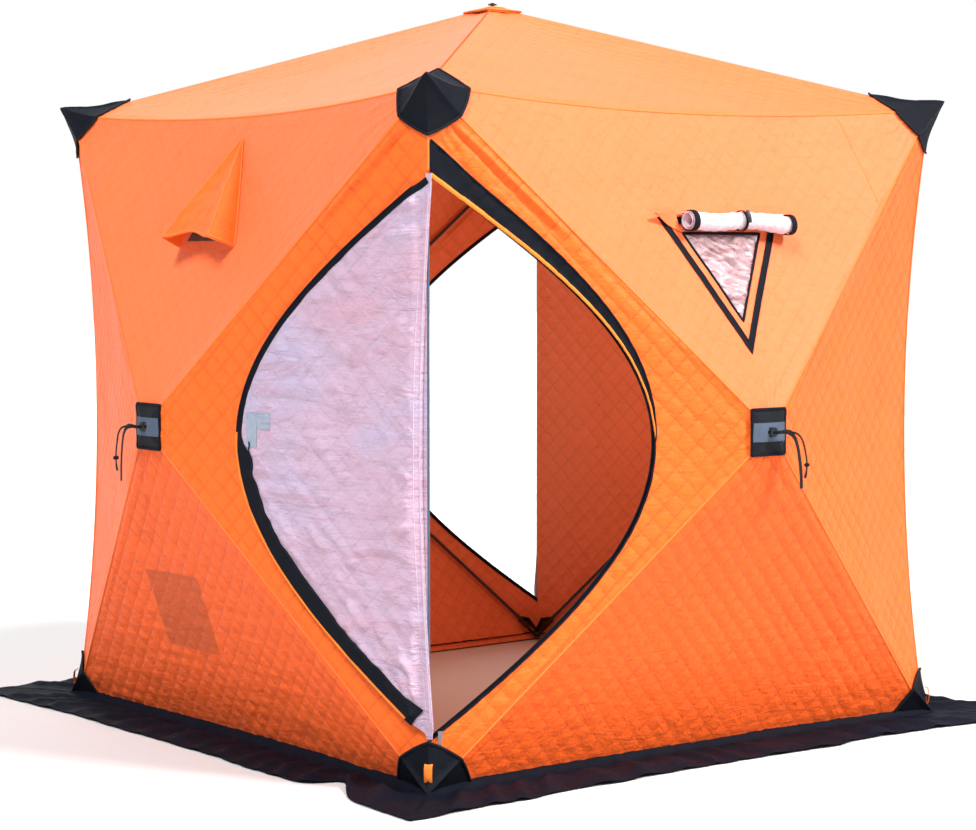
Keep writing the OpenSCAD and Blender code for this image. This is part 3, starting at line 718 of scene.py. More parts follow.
def make_patch(wall, m):
    heap = Heap()
    out = UPWARD if wall == "roof" else place(wall, OUTWARD)
    n = 31
    side = np.linspace(-PATCH, PATCH, n)
    x, y = np.meshgrid(side, side, indexing="ij")
    near_rim = smooth((np.maximum(abs(x), abs(y)) - 0.045) / 0.02)
    curl = 0.0014 * noise(x, y, 0.03, 71) + 0.0022 * near_rim * noise(x, y, 0.05, 72)
    keep = np.hypot((x[1:, 1:] + x[:-1, :-1]) / 2, (y[1:, 1:] + y[:-1, :-1]) / 2) > 0.0095
    p, weight = patch_points(wall, x, y, curl)
    heap.sheet(p, np.broadcast_to(out, p.shape), 0.0022, np.stack([x, y], -1), weight, 0, keep)
    rows = side[np.abs(side) < BAND_HALF]
    bx, by = np.meshgrid(np.linspace(-PATCH + 0.002, PATCH - 0.002, n), rows, indexing="ij")
    curl = 0.0014 * noise(bx, by, 0.03, 71)
    p, weight = patch_points(wall, bx, by, curl + 0.0016)
    keep = np.hypot((bx[1:, 1:] + bx[:-1, :-1]) / 2, (by[1:, 1:] + by[:-1, :-1]) / 2) > 0.0145
    heap.sheet(p, np.broadcast_to(out, p.shape), 0.0012, np.stack([bx, by], -1), weight, 1, keep)
    rim = PATCH - 0.0035
    for ends in (((-1, -1), (1, -1)), ((1, -1), (1, 1)), ((1, 1), (-1, 1)), ((-1, 1), (-1, -1))):
        s = np.linspace(0, 1, 24)[:, None]
        line = (np.array(ends[0]) + (np.array(ends[1]) - np.array(ends[0])) * s) * rim
        lift = 0.0006 + 0.0014 * noise(line[:, 0], line[:, 1], 0.03, 71)
        edge, weight = patch_points(wall, line[:, 0], line[:, 1], lift)
        heap.tube(edge, out, 0.0100, 0.0034, weight, 2, 8)
    looks = ("seam_patch", "seam_patch", "seam") if wall == "roof" else ("black_web", "grey_web", "black")
    piece = heap.hung(f"hub_patch_{wall}", [m[look] for look in looks])
    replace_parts(piece, f"patch_{wall}")


# Routes of a pull strap and of its tail from the hub's stud, in millimetres: along X, outwards, and up
STRAP_ROUTE = [
    (0, 0, 0), (1, 7, 0), (5, 13, 1), (12, 17, 2), (21, 19, 2), (31, 20, 0), (41, 20, -5),
    (50, 19, -13), (58, 18, -24), (64, 17, -37), (69, 16, -51), (73, 15, -66), (77, 14, -82),
    (80, 13, -98), (83, 12, -115), (85, 11, -132), (87, 10, -150)]
TAIL_ROUTE = [
    (30, 20, 1), (44, 25, -1), (60, 26, -8), (74, 25, -22), (84, 23, -42), (91, 22, -64), (95, 21, -88),
    (93, 21, -108), (88, 21, -122)]
STUD_TIP = APEX + OUTWARD * 0.011


def spline(points, steps):
    """A smooth path through points."""
    p = np.asarray(points, float)
    p = np.concatenate([[2 * p[0] - p[1]], p, [2 * p[-1] - p[-2]]])
    t = np.linspace(0, 1, steps, endpoint=False)[:, None]
    parts = []
    for a, b, c, d in zip(p, p[1:], p[2:], p[3:]):
        parts.append(0.5 * (2 * b + (c - a) * t + (2 * a - 5 * b + 4 * c - d) * t ** 2
                            + (3 * b - a - 3 * c + d) * t ** 3))
    return np.concatenate(parts + [p[-2:-1]])


def strap_points(route):
    return np.array([STUD_TIP + np.array([x, -out, up]) / 1000 for x, out, up in route])


def make_strap(wall, m):
    """A pull strap: round at the hub, flat where it hangs, with a thin knotted tail beside it."""
    path = place(wall, spline(strap_points(STRAP_ROUTE), 4))
    n = len(path)
    flat = smooth((np.linspace(0, 1, n) - 0.12) / 0.25)
    heap = Heap()
    start = place(wall, OUTWARD)
    twist = 1 + 0.05 * np.sin(np.linspace(0, 9, n))
    heap.tube(path, start, (0.0084 + 0.0074 * flat) * twist, 0.0084 - 0.0052 * flat, sides=14)
    strap = heap.make(f"pull_strap_{wall}", [m["black_web"]])
    tail_path = place(wall, spline(strap_points(TAIL_ROUTE), 4))
    heap = Heap()
    frayed = 0.0056 + 0.0040 * smooth((np.linspace(0, 1, len(tail_path)) - 0.82) / 0.1)
    heap.tube(tail_path, place(wall, OUTWARD), frayed, 0.0034, sides=10)
    turn = np.linspace(0, TAU, 30, endpoint=False)
    centre = tail_path[-9]
    for tilt, radius in ((0.5, 0.0056), (-0.7, 0.0050)):
        loop = np.stack([np.cos(turn) * radius, np.sin(turn) * radius, np.sin(turn + 1) * radius * tilt], -1)
        heap.tube(centre + loop, np.array([0.0, 0.0, 1.0]), 0.0044, 0.0044, sides=8, closed=True)
    tail = heap.make(f"strap_tail_{wall}", [m["black_web"]])
    for piece in (strap, tail):
        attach(piece, f"{wall}_hub")
    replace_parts(strap, f"strap_{wall}")


# ---------------------------------------------------------------- doors

def door_plane(w, z, h):
    """Points on a door gore's plane: across from the fold line, up, and outwards."""
    x = -HALF + w * math.cos(GORE_ANGLE) - h * math.sin(GORE_ANGLE)
    y = -HALF - w * math.sin(GORE_ANGLE) - h * math.cos(GORE_ANGLE)
    return np.stack([x, y, z + 0 * x], -1)


DOOR_OUT = unit(np.array([-math.sin(GORE_ANGLE), -math.cos(GORE_ANGLE), 0]))
FOLD_R = 0.0025
HINGE_H = 0.0075
FLAP_T = 0.003
FLAP_H = 0.0175
FLAP_INSET = 0.0125
TAPE_W = 0.027
LOWER_TAPE_MORE = 0.031
VELCRO_AT = (0.53, 0.89)


def flap_width(z):
    """How far the folded door reaches from the fold line at a height."""
    share = np.linspace(0, 1, 600)
    edge = lens_offset(share, -FLAP_INSET)
    return np.interp(z, edge[::-1, 1], edge[::-1, 0])


def hinge_line(z):
    """Where the folded door turns back, from the corner line: out at its ends, in at its middle."""
    share = np.clip((z - DOOR_MID) / (DOOR_TOP - DOOR_MID), -1, 1)
    return 0.016 - 0.031 * share ** 2


def flap_height(w, z):
    """Outer face of the folded door over the gore that it lies on."""
    edge_far = np.minimum(flap_width(z) - w, w - hinge_line(z) + 0.004)
    mask = smooth(edge_far / 0.05)
    folds = fan(w, z, (0.0, DOOR_BOTTOM), 34, 0.55, 901) + fan(w, z, (0.0, DOOR_TOP), 30, 0.45, 903)
    folds = folds + 1.3 * fan(w, z, (DOOR_W + 0.04, DOOR_MID + 0.05), 52, 0.24, 909)
    slack = 0.0080 * noise(w, z, 0.15, 905) + 0.0058 * noise(w + 0.5 * z, z - 0.3 * w, 0.055, 906)
    level = noise(w * 0.25, z + 0.08 * w, 0.026, 910) * smooth(0.5 + noise(w, z, 0.3, 912))
    diagonal = noise((w + z) * 0.2, z - w, 0.030, 907) * smooth(0.5 + noise(w, z, 0.25, 908))
    slack = slack + 0.0085 * level + 0.0110 * diagonal
    mask = mask * (1 - 0.95 * np.exp(-((w - VELCRO_AT[0]) ** 2 + (z - VELCRO_AT[1]) ** 2) / 0.060 ** 2))
    quilt = 0.0036 * puff(w, z) * smooth(0.6 + 1.4 * noise(w, z, 0.22, 913)) * mask
    height = 0.0030 + mask * (0.0100 * folds + slack) + quilt * smooth(edge_far / 0.02)
    settled = HINGE_H + (FLAP_H - HINGE_H) * smooth((w - 0.006) / 0.034)
    return settled + smooth((w - 0.010) / 0.04) * 0.0045 * np.logaddexp(0, height / 0.0045)


def lens_ribbon(heap, wall, offsets, share, height, thickness, layer=0, start=0.0, weights=False, wavy=0.0):
    """A ribbon that follows the door's outline between two offsets, each one number or one per share."""
    rows = 7
    inner, outer = (np.broadcast_to(o, share.shape) for o in offsets)
    mix = np.linspace(0, 1, rows)[:, None]
    offset = inner + (outer - inner) * mix
    flat = np.stack([lens_offset(share, o) for o in offset])
    w = np.maximum(flat[..., 0], start)
    z = flat[..., 1]
    h = height(w, z) + wavy * noise(w, z, 0.05, 911)
    p = door_plane(w, z, h)
    length = np.concatenate([[0], np.cumsum(np.linalg.norm(np.diff(lens(share), axis=0), axis=1))])
    uv = np.stack([np.broadcast_to(length, w.shape), offset], -1)
    weight = np.clip(w / GORE_LEN, 0, 1) if weights else 0.0
    heap.sheet(place(wall, p), place(wall, np.broadcast_to(DOOR_OUT, p.shape)), thickness, uv, weight, layer)


def lens_tube(heap, wall, offset, share, height, width, thickness, layer=0, start=0.0, weights=False):
    flat = lens_offset(share, np.broadcast_to(offset, share.shape))
    w, z = np.maximum(flat[..., 0], start), flat[..., 1]
    weight = np.clip(w / GORE_LEN, 0, 1) if weights else 0.0
    path = place(wall, door_plane(w, z, height(w, z)))
    heap.tube(path, place(wall, DOOR_OUT), width, thickness, weight, layer, 8)


def gore_height(wall, lift):
    def height(w, z):
        return gore_relief(3, door_x(w), z, wall_seed(wall)) + lift
    return height


def make_door(door, wall, m):
    """A door folded back on the gore of the next wall, its lining outwards."""
    rows, cols, roll = 186, 84, 9
    z = np.linspace(DOOR_BOTTOM + 0.006, DOOR_TOP - 0.004, rows)[:, None]
    wide = np.maximum(flap_width(z), 0.002)
    start = hinge_line(z)
    wide = np.maximum(wide, start + 0.002)
    w = start + (wide - start) * np.linspace(0, 1, cols)
    body = door_plane(w, z, flap_height(w, z))
    angle = np.linspace(-90, 80, roll) * math.pi / 180
    radius = FOLD_R * smooth(wide / 0.04 + 0.25)
    turned_h = HINGE_H - FOLD_R + radius * np.sin(angle)
    hinge = door_plane(start - radius * np.cos(angle), z, turned_h)
    sewn_share = np.linspace(0, 1, 4, endpoint=False)
    sewn = door_plane(start * sewn_share, z, HINGE_H - 2 * FOLD_R + 0 * sewn_share)
    p = np.concatenate([sewn, hinge, body], 1)
    sewn_u = start - 0.003 - 0.004 * (1 - sewn_share)
    u = np.concatenate([sewn_u, start + 0.003 * np.sin(angle) - 0.003, w], 1)
    uv = np.stack([u, z + 0 * p[..., 0]], -1)
    placed = place(wall, p)
    normals = grid_normals(placed, place(wall, DOOR_OUT))
    flap = thick_sheet(f"door_flap_{door}_cloth", placed, normals, FLAP_T, [m["lining"], m["quilt"]], uv)
    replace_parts(flap, f"door_flap_{door}")

    def on_flap(lift):
        return lambda w, z: flap_height(np.minimum(w, flap_width(z)), z) + lift

    heap = Heap()
    share = np.linspace(0.004, 0.5, 200)
    lens_ribbon(heap, wall, (-0.0095, -TAPE_W), share, on_flap(0.0012), 0.0012, start=-0.013, wavy=0.0006)
    share = np.linspace(0.485, 0.978, 200)
    wide_end = TAPE_W + LOWER_TAPE_MORE * smooth((share - 0.485) / 0.05)
    lens_ribbon(heap, wall, (-0.0088, -wide_end), share, on_flap(0.0032), 0.0016, wavy=0.0012, start=-0.010)
    lens_tube(heap, wall, -0.0112, np.linspace(0.022, 0.485, 200), on_flap(0.0022), 0.0040, 0.0034, 1)
    lens_tube(heap, wall, -0.0124, np.linspace(0.485, 0.968, 200), on_flap(0.0030), 0.0068, 0.0050, 2)
    share = np.linspace(0.50, 0.965, 200)
    lens_tube(heap, wall, -0.0555, share, on_flap(0.0040), 0.0040, 0.0022, 1, start=-0.004)
    tape = heap.make(f"door_tape_{door}_cloth", [m["black"], m["black_web"], m["binding"]])
    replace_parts(tape, f"door_tape_{door}")
    heap = Heap()
    for w0, w1, z0, z1 in ((0.531, 0.566, 0.845, 0.935), (0.484, 0.530, 0.893, 0.935)):
        gw, gz = np.meshgrid(np.linspace(w0, w1, 14), np.linspace(z0, z1, 14), indexing="ij")
        q = place(wall, door_plane(gw, gz, flap_height(gw, gz) + 0.0016))
        heap.sheet(q, np.broadcast_to(place(wall, DOOR_OUT), q.shape), 0.0014, np.stack([gw, gz], -1))
    velcro = heap.make(f"door_fastener_{door}", [m["velcro"]])
    heap = Heap()
    # Painted highlight: two thin tubes of lighter pink along the hinge fold, where the rounded fold catches
    # the light.
    z_line = np.linspace(DOOR_BOTTOM + 0.05, DOOR_TOP - 0.05, 160)
    for w_line, wide_line in ((0.0025, 0.0034), (0.016, 0.0009)):
        across = w_line + hinge_line(z_line)
        q = place(wall, door_plane(across, z_line, flap_height(across, z_line) + 0.0002))
        heap.tube(q, place(wall, DOOR_OUT), wide_line, 0.0018, sides=8)
    hem = heap.make(f"door_fold_highlight_{door}", [m["hem"]])
    for piece in (flap, tape, velcro, hem):
        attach(piece, f"{door}_door")
        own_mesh(piece)
    area = float(np.trapz(flap_width(z_line), z_line))


STORM_W = 0.056
STORM_TOP = 0.012


def make_opening(wall, m):
    """The door opening's trim: the storm flap with its piping, the bound lower edge and the zip track."""
    heap = Heap()
    share = np.linspace(-0.16, 0.5, 260)
    wide = STORM_W * (1 - np.maximum(share, 0) * 2) ** 0.85
    wide = wide + STORM_TOP * (1 - smooth((share + 0.04) / 0.12))
    in_view = lens_offset(share, 0.002 + wide)[:, 0] > 0.0045
    share, wide = share[in_view], wide[in_view]

    height = gore_height(wall, 0.0034)
    lens_ribbon(heap, wall, (0.002, 0.002 + wide), share, height, 0.0018, 0, 0.004, True, 0.0006)
    height = gore_height(wall, 0.0040)
    lens_tube(heap, wall, 0.002 + wide - 0.002, share, height, 0.0050, 0.0030, 0, 0.004, True)
    storm = heap.hung(f"storm_flap_{wall}", [m["black"]])
    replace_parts(storm, "storm_flaps")
    heap = Heap()
    share = np.linspace(0.004, 0.5, 180)
    pipe = 0.0115 * (1 - 0.75 * share * 2) + 0.001
    height = gore_height(wall, 0.0030)
    lens_tube(heap, wall, 0.0015 - pipe / 2 + 0.002, share, height, pipe, 0.0042, 0, 0.004, True)
    piping = heap.hung(f"door_piping_{wall}", [m["piping"]])
    heap = Heap()
    whole = np.linspace(0.0, 1.0, 360)

    def below(depth):
        return lambda w, z: -depth + 0 * w

    lens_ribbon(heap, wall, (-0.0068, 0.004), whole, below(0.0046), 0.0014, 0, 0.003, True)
    lens_tube(heap, wall, -0.0062, whole, below(0.0040), 0.0030, 0.0030, 1, 0.003, True)
    lower = np.linspace(0.48, 1.0, 180)
    lens_tube(heap, wall, 0.001, lower, gore_height(wall, 0.0), 0.0060, 0.0048, 0, 0.003, True)
    track = heap.hung(f"zip_track_{wall}", [m["black"], m["black_web"]])
    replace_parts(track, "zip_tracks")


# ---------------------------------------------------------------- window trim

WINDOW_BAND = 0.019
FILM_INSET = 0.1255
ROLL_R = 0.0245
ROLL_SHIFT = 0.046
ROLL_LEN = 0.372
ROLL_LIFT = 0.033
TOGGLE_AT = 0.053


def upper_point(wall, u, v, lift=0.0, rough=1.0):
    """A point on an upper gore: along the wall and up its slope from the hub."""
    u, z = np.broadcast_arrays(np.asarray(u, float), HUB_Z + v / UPPER_SCALE)
    return on_gore(wall, 0, u, z, lift, rough), hub_weight(0, u, z)


def window_ring(inset, steps):
    """Points round the window at an inset, a row for each inset."""
    rows = []
    for one in np.atleast_1d(inset):
        c = window_corners(one)
        s = np.linspace(0, 1, steps, endpoint=False)[:, None]
        rows.append(np.concatenate([c[i] + (c[(i + 1) % 3] - c[i]) * s for i in range(3)] + [c[:1]]))
    return np.array(rows)


def window_tube(heap, wall, inset, lift, width, height, layer=0):
    ring = window_ring(inset, 34)[0][:-1]
    p, weight = upper_point(wall, ring[:, 0], ring[:, 1], lift)
    heap.tube(place(wall, p), place(wall, UPPER_OUT), width, height, weight, layer, 8, closed=True)


UPPER_OUT = unit(np.array([0, -(RISE - EAVE_SAG), WALL_OUT + EAVE_PULL]))
UPPER_UP = unit(np.array([0, WALL_OUT + EAVE_PULL, RISE - EAVE_SAG]))


def make_window(wall, m):
    """The band that fastens the cover, the bound hole, the film in it and the rolled-up cover."""
    heap = Heap()
    ring = window_ring(np.linspace(0, WINDOW_BAND, 6), 34)
    lift = 0.0022 + 0.0005 * noise(ring[..., 0], ring[..., 1], 0.03, 21)
    p, weight = upper_point(wall, ring[..., 0], ring[..., 1], lift)
    heap.sheet(place(wall, p), place(wall, np.broadcast_to(UPPER_OUT, p.shape)), 0.0016, ring, weight)
    window_tube(heap, wall, WINDOW_HOLE - 0.001, 0.0004, 0.0080, 0.0056, 0)
    window_tube(heap, wall, 0.001, 0.0026, 0.0028, 0.0022, 1)
    window_tube(heap, wall, WINDOW_BAND - 0.001, 0.0026, 0.0028, 0.0022, 1)
    band = heap.hung(f"window_band_{wall}", [m["black"], m["black_web"]])
    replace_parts(band, "window_bands")
    insets = np.linspace(WINDOW_HOLE - 0.006, FILM_INSET, 34)
    ring = window_ring(insets, 60)
    u, v = ring[..., 0], ring[..., 1]
    along, across = u - 0.6 * v, v + 0.6 * u
    creases = 0.013 * np.abs(noise(along * 0.35, across, 0.026, 31)) + 0.008 * np.abs(noise(u, v, 0.05, 32))
    creases = creases + 0.0030 * np.sin(across * TAU / 0.030 + 5 * noise(u, v, 0.07, 33))
    edge = smooth((insets - WINDOW_HOLE + 0.006) / 0.02)[:, None]
    p, weight = upper_point(wall, u, v, -0.0050 + creases * edge, 0.3)
    verts = [place(wall, p), place(wall, np.broadcast_to(UPPER_OUT, p.shape))]
    film = thick_sheet(f"window_film_{wall}", verts[0], verts[1], 0.0007, [m["film"]], ring)
    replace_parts(hang(film, weight), "window_panes")
    make_roll(wall, m)


def roll_axis(wall, x):
    v = (WINDOW_TOP - HUB_Z) * UPPER_SCALE - 0.022 - 0.010 * smooth((x - 0.12) / 0.1)
    droop = 0.006 * np.sin(np.clip((x + 0.145) / 0.20, 0, 1) * math.pi) ** 2
    droop = droop + 0.004 * np.sin(np.clip((x - 0.055) / 0.19, 0, 1) * math.pi) ** 2
    p, weight = upper_point(wall, x, v - droop, ROLL_LIFT, 0.0)
    return p, weight


def make_roll(wall, m):
    """The window's cover: a triangle of cloth, rolled up from its point to its top edge."""
    turns, cols, rows = 4.6, 200, 64
    s = np.linspace(0, 1, cols)
    angle = (1 - s) * turns * TAU
    radius = 0.0030 + (ROLL_R - 0.0030) * s ** 0.8
    side = np.linspace(-1, 1, rows)[:, None]
    half = ROLL_LEN / 2 * (0.62 + 0.38 * np.minimum(s * 1.5, 1))
    x = ROLL_SHIFT + side * half + 0.003 * noise(side * 0.1, s, 0.05, 51)
    axis, weight = roll_axis(wall, x)
    loose = 0.0017 * noise(x, s * 0.5, 0.045, 52) + 0.0012 * np.sin(x * TAU / 0.034 + 4 * s) * s
    reach = (radius + loose)[..., None]
    p = axis + reach * (np.cos(angle)[:, None] * UPPER_UP + np.sin(angle)[:, None] * UPPER_OUT)
    sewn, _ = upper_point(wall, x[:, -1:], (WINDOW_TOP - HUB_Z) * UPPER_SCALE + 0.010, 0.0044)
    tail = p[:, -1:] + (sewn - p[:, -1:]) * np.linspace(0.25, 1, 4)[:, None]
    p = np.concatenate([p, tail], 1)
    weight = np.concatenate([weight, np.repeat(weight[:, -1:], 4, 1)], 1)
    placed = place(wall, p)
    length = np.concatenate([s * 0.36, 0.36 + np.linspace(0.006, 0.03, 4)])
    uv = np.stack([np.broadcast_to(x[:, -1:], weight.shape), np.broadcast_to(length, weight.shape)], -1)
    normals = grid_normals(placed, place(wall, np.broadcast_to(p - axis[:, :1], p.shape)))
    cover = thick_sheet(f"window_cover_{wall}", placed, normals, 0.0016, [m["cover"]], uv)
    hang(cover, weight)
    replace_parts(cover, "window_covers")
    heap = Heap()
    turn = np.linspace(0, TAU, 40, endpoint=False)
    for at, wide in ((-0.128, 0.020), (0.220, 0.020), (TOGGLE_AT, 0.010)):
        centre, weight = roll_axis(wall, np.array(at))
        out = np.cos(turn)[:, None] * UPPER_UP + np.sin(turn)[:, None] * UPPER_OUT
        bumpy = ROLL_R + 0.0026 + 0.0008 * np.sin(3 * turn)[:, None]
        path = place(wall, centre + out * bumpy)
        heap.tube(path, place(wall, out), wide, 0.0022, float(weight), 0, 10, True)
    centre, weight = roll_axis(wall, np.array(TOGGLE_AT))
    toggle = np.linspace(-0.5, 0.5, 17)
    swell = 0.008 + 0.0045 * np.cos(toggle * math.pi * 1.1) + 0.0015 * (np.abs(toggle) > 0.42)
    line = centre + UPPER_OUT * (ROLL_R + 0.009) + UPPER_UP * (toggle * 0.034)[:, None]
    heap.tube(place(wall, line), place(wall, UPPER_OUT), swell, swell, float(weight), 1, 14)
    loops = heap.hung(f"window_loops_{wall}", [m["black"], m["plastic"]])
    a, b = np.meshgrid(np.linspace(0, 1, 14), np.linspace(0, 1, 12), indexing="ij")
    top = (WINDOW_TOP - HUB_Z) * UPPER_SCALE
    u = -0.150 + (-0.246 + 0.150) * a
    v = top + 0.012 - (0.052 * b) * (1 - a) - 0.012 * a
    lift = 0.004 + 0.022 * a ** 1.4 + 0.003 * np.sin(a * 5 + b * 3)
    p, weight = upper_point(wall, u, v, lift)
    normals = place(wall, np.broadcast_to(UPPER_OUT, p.shape))
    uv = np.stack([u, v], -1)
    tip = thick_sheet(f"window_tip_{wall}", place(wall, p), normals, 0.0022, [m["plain"]], uv)
    hang(tip, weight)


# ---------------------------------------------------------------- vents and pockets

VENT_TOP = (1.370 - HUB_Z) * UPPER_SCALE + 0.310
VENT_H = 0.310
VENT_HALF = 0.145
VENT_OUT = 0.075
VENT_SHIFT = -0.030


def vent_points(wall, a, b, gap=0.0):
    """A point on a vent hood: a from -1 to 1 across it and b from 0 at its top to 1 at its hem."""
    shoulder = 0.72
    q = np.abs(a)
    front = q < shoulder
    across = np.where(front, 0.84 * q / shoulder, 0.84 + 0.16 * (q - shoulder) / (1 - shoulder))
    drop = np.clip((q - shoulder) / (1 - shoulder), 0, 1)
    sag = 1 - 0.16 * (1 - (np.minimum(q, shoulder) / shoulder) ** 2)
    lift = VENT_OUT * b * np.where(front, sag, (1 - drop) ** 0.85)
    u = VENT_SHIFT + np.sign(a) * across * VENT_HALF * b
    rough = 0.0030 * noise(u, b * VENT_H, 0.06, 81) + 0.0016 * noise(u * 1.4, b * VENT_H, 0.025, 82)
    hem = 0.010 * b ** 6 * np.cos(np.minimum(q / shoulder, 1) * math.pi)
    v = VENT_TOP - VENT_H * b + hem
    mask = smooth(b * 6) * smooth((1 - q) * 5)
    return upper_point(wall, u, v, 0.0036 + lift + rough * mask - gap, 0.5)


def make_vent(wall, m):
    heap = Heap()
    b, a = np.meshgrid(np.linspace(0.015, 1, 64), np.linspace(-1, 1, 92), indexing="ij")
    p, weight = vent_points(wall, a, b)
    placed = place(wall, p)
    normals = grid_normals(placed, np.broadcast_to(place(wall, UPPER_OUT), placed.shape))
    uv = np.stack([a * b * VENT_HALF, b * VENT_H], -1)
    heap.sheet(placed, normals, 0.0022, uv, weight)
    across = np.linspace(-1, 1, 110)
    for at, lift, width, height in ((0.985, 0.0006, 0.0070, 0.0056), (0.89, 0.0004, 0.0026, 0.0018)):
        line, line_weight = vent_points(wall, across, at + 0 * across, -lift)
        heap.tube(place(wall, line), place(wall, UPPER_OUT), width, height, line_weight, 1, 8)
    down = np.linspace(0.02, 0.99, 60)
    for side in (-0.72, 0.72):
        line, line_weight = vent_points(wall, side + 0 * down, down, -0.0004)
        heap.tube(place(wall, line), place(wall, UPPER_OUT), 0.0042, 0.0034, line_weight, 1, 8)
    for side in (-1.0, 1.0):
        line, line_weight = vent_points(wall, side + 0 * down, down, 0.0)
        heap.tube(place(wall, line), place(wall, UPPER_OUT), 0.0070, 0.0036, line_weight, 1, 8)
    hood = heap.hung(f"vent_hood_{wall}", [m["vent"], m["seam"]])
    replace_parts(hood, "vent_hoods")
    b, a = np.meshgrid(np.linspace(0.06, 0.97, 40), np.linspace(-0.9, 0.9, 40), indexing="ij")
    u = VENT_SHIFT + a * VENT_HALF * b * 0.92
    p, weight = upper_point(wall, u, VENT_TOP - VENT_H * b, 0.0030)
    normals = place(wall, np.broadcast_to(UPPER_OUT, p.shape))
    uv = np.stack([u, b * VENT_H], -1)
    screen = thick_sheet(f"vent_screen_{wall}", place(wall, p), normals, 0.0012, [m["mesh"]], uv)
    hang(screen, weight)


POCKET_W = 0.270
POCKET_H = 0.235
POCKET_LOW = 0.245
POCKET_SHIFT = 0.110


def make_pocket(wall, m):
    """A storage pocket inside a lower gore: mesh, bound at its edges and gathered along its top."""
    heap = Heap()
    a, b = np.meshgrid(np.linspace(-1, 1, 44), np.linspace(0, 1, 36), indexing="ij")
    belly = (1 - a ** 4) * (0.25 + 0.75 * b) * smooth(b * 4)
    u = POCKET_SHIFT + a * POCKET_W / 2
    z = POCKET_LOW + b * POCKET_H / LOWER_SCALE
    gather = 0.0022 * np.sin(a * 26) * b ** 3

    def at(u, z, depth):
        base = on_gore(wall, 2, u, z, 0.0, 0.0)
        return base - gore_normal(2, u, z) * depth[..., None]

    p = at(u, z, 0.0095 + 0.020 * belly + gather)
    weight = hub_weight(2, u, z)
    placed = place(wall, p)
    normals = grid_normals(placed, np.broadcast_to(place(wall, -OUTWARD), placed.shape))
    heap.sheet(placed, normals, 0.0012, np.stack([u, z], -1), weight)
    for line in (p[:, -1], p[:, 0], p[0], p[-1]):
        line_weight = wall_weight(line)
        heap.tube(place(wall, line), place(wall, -OUTWARD), 0.0130, 0.0034, line_weight, 1, 8)
    pocket = heap.hung(f"storage_pocket_{wall}", [m["mesh"], m["black_web"]])
    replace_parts(pocket, "storage_pockets")


# ---------------------------------------------------------------- the ground skirt

SKIRT_W = 0.185
SKIRT_TIP = 0.215
SKIRT_T = 0.0016


def make_skirt(m):
    """A strip of cloth sewn to the foot of the walls, which lies on the ground in loose folds."""
    cols, rows = 230, 26
    t = np.linspace(0, 1, cols, endpoint=False)
    across = np.linspace(0, 1, rows)[:, None]
    parts = []
    for turn, seed in ((0, 5), (1, 6), (2, 7), (3, 8)):
        x = -HALF + 2 * HALF * t
        inner = np.stack([x, -HALF + BASE_PULL * 4 * t * (1 - t)], -1) * 0.998
        middle = smooth(np.minimum(t, 1 - t) / 0.25)
        wide = SKIRT_TIP + (SKIRT_W - SKIRT_TIP) * middle
        corner_mask = smooth(np.minimum(t, 1 - t) / 0.06)
        wide = wide + 0.014 * noise(t, 0 * t, 0.07, seed + 10) * corner_mask
        wide = wide - 0.10 * np.exp(-((t - 0.83) / 0.035) ** 2) * (turn == 3)
        wide = wide - 0.06 * np.exp(-((t - 0.60) / 0.05) ** 2) * (turn == 1)
        outer = np.stack([(-HALF - wide) + 2 * (HALF + wide) * t, -HALF - wide], -1)
        flat = inner + (outer - inner) * across[..., None]
        u = x + 0 * across
        v = wide * across
        ripple = 0.5 + 0.5 * noise(u, v, 0.075, seed + 20)
        ridge = (0.5 + 0.5 * np.sin(u * TAU / 0.105 + 3.0 * noise(u, v, 0.2, seed + 21))) ** 2
        loose = 0.0150 * ripple * smooth((across - 0.15) / 0.5)
        loose = loose + 0.0120 * ridge * smooth((across - 0.05) / 0.35)
        loose = loose + 0.0040 * np.abs(noise(u, v, 0.022, seed + 22))
        loose = loose * (0.35 + 0.65 * np.minimum(corner_mask + 0.2, 1))
        settle = 0.024 * (1 - smooth(across / 0.16))
        z = 0.0020 + loose * (1 - 0.55 * smooth((across - 0.85) / 0.15)) + settle
        p = np.stack([flat[..., 0], flat[..., 1], z + 0 * flat[..., 0]], -1)
        angle = turn * math.pi / 2
        c, s = math.cos(angle), math.sin(angle)
        parts.append((np.stack([p[..., 0] * c - p[..., 1] * s, p[..., 0] * s + p[..., 1] * c, p[..., 2]], -1),
                      np.stack([u + turn * 2 * HALF, v], -1)))
    p = np.concatenate([q for q, _ in parts] + [parts[0][0][:, :1]], 1)
    uv = np.concatenate([q for _, q in parts] + [parts[0][1][:, :1]], 1)
    normals = np.broadcast_to(UPWARD, p.shape)
    skirt = thick_sheet("ground_skirt_cloth", p, normals, SKIRT_T, [m["skirt"]], uv)
    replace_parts(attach(skirt, "shell"), "ground_skirt")


# ---------------------------------------------------------------- materials

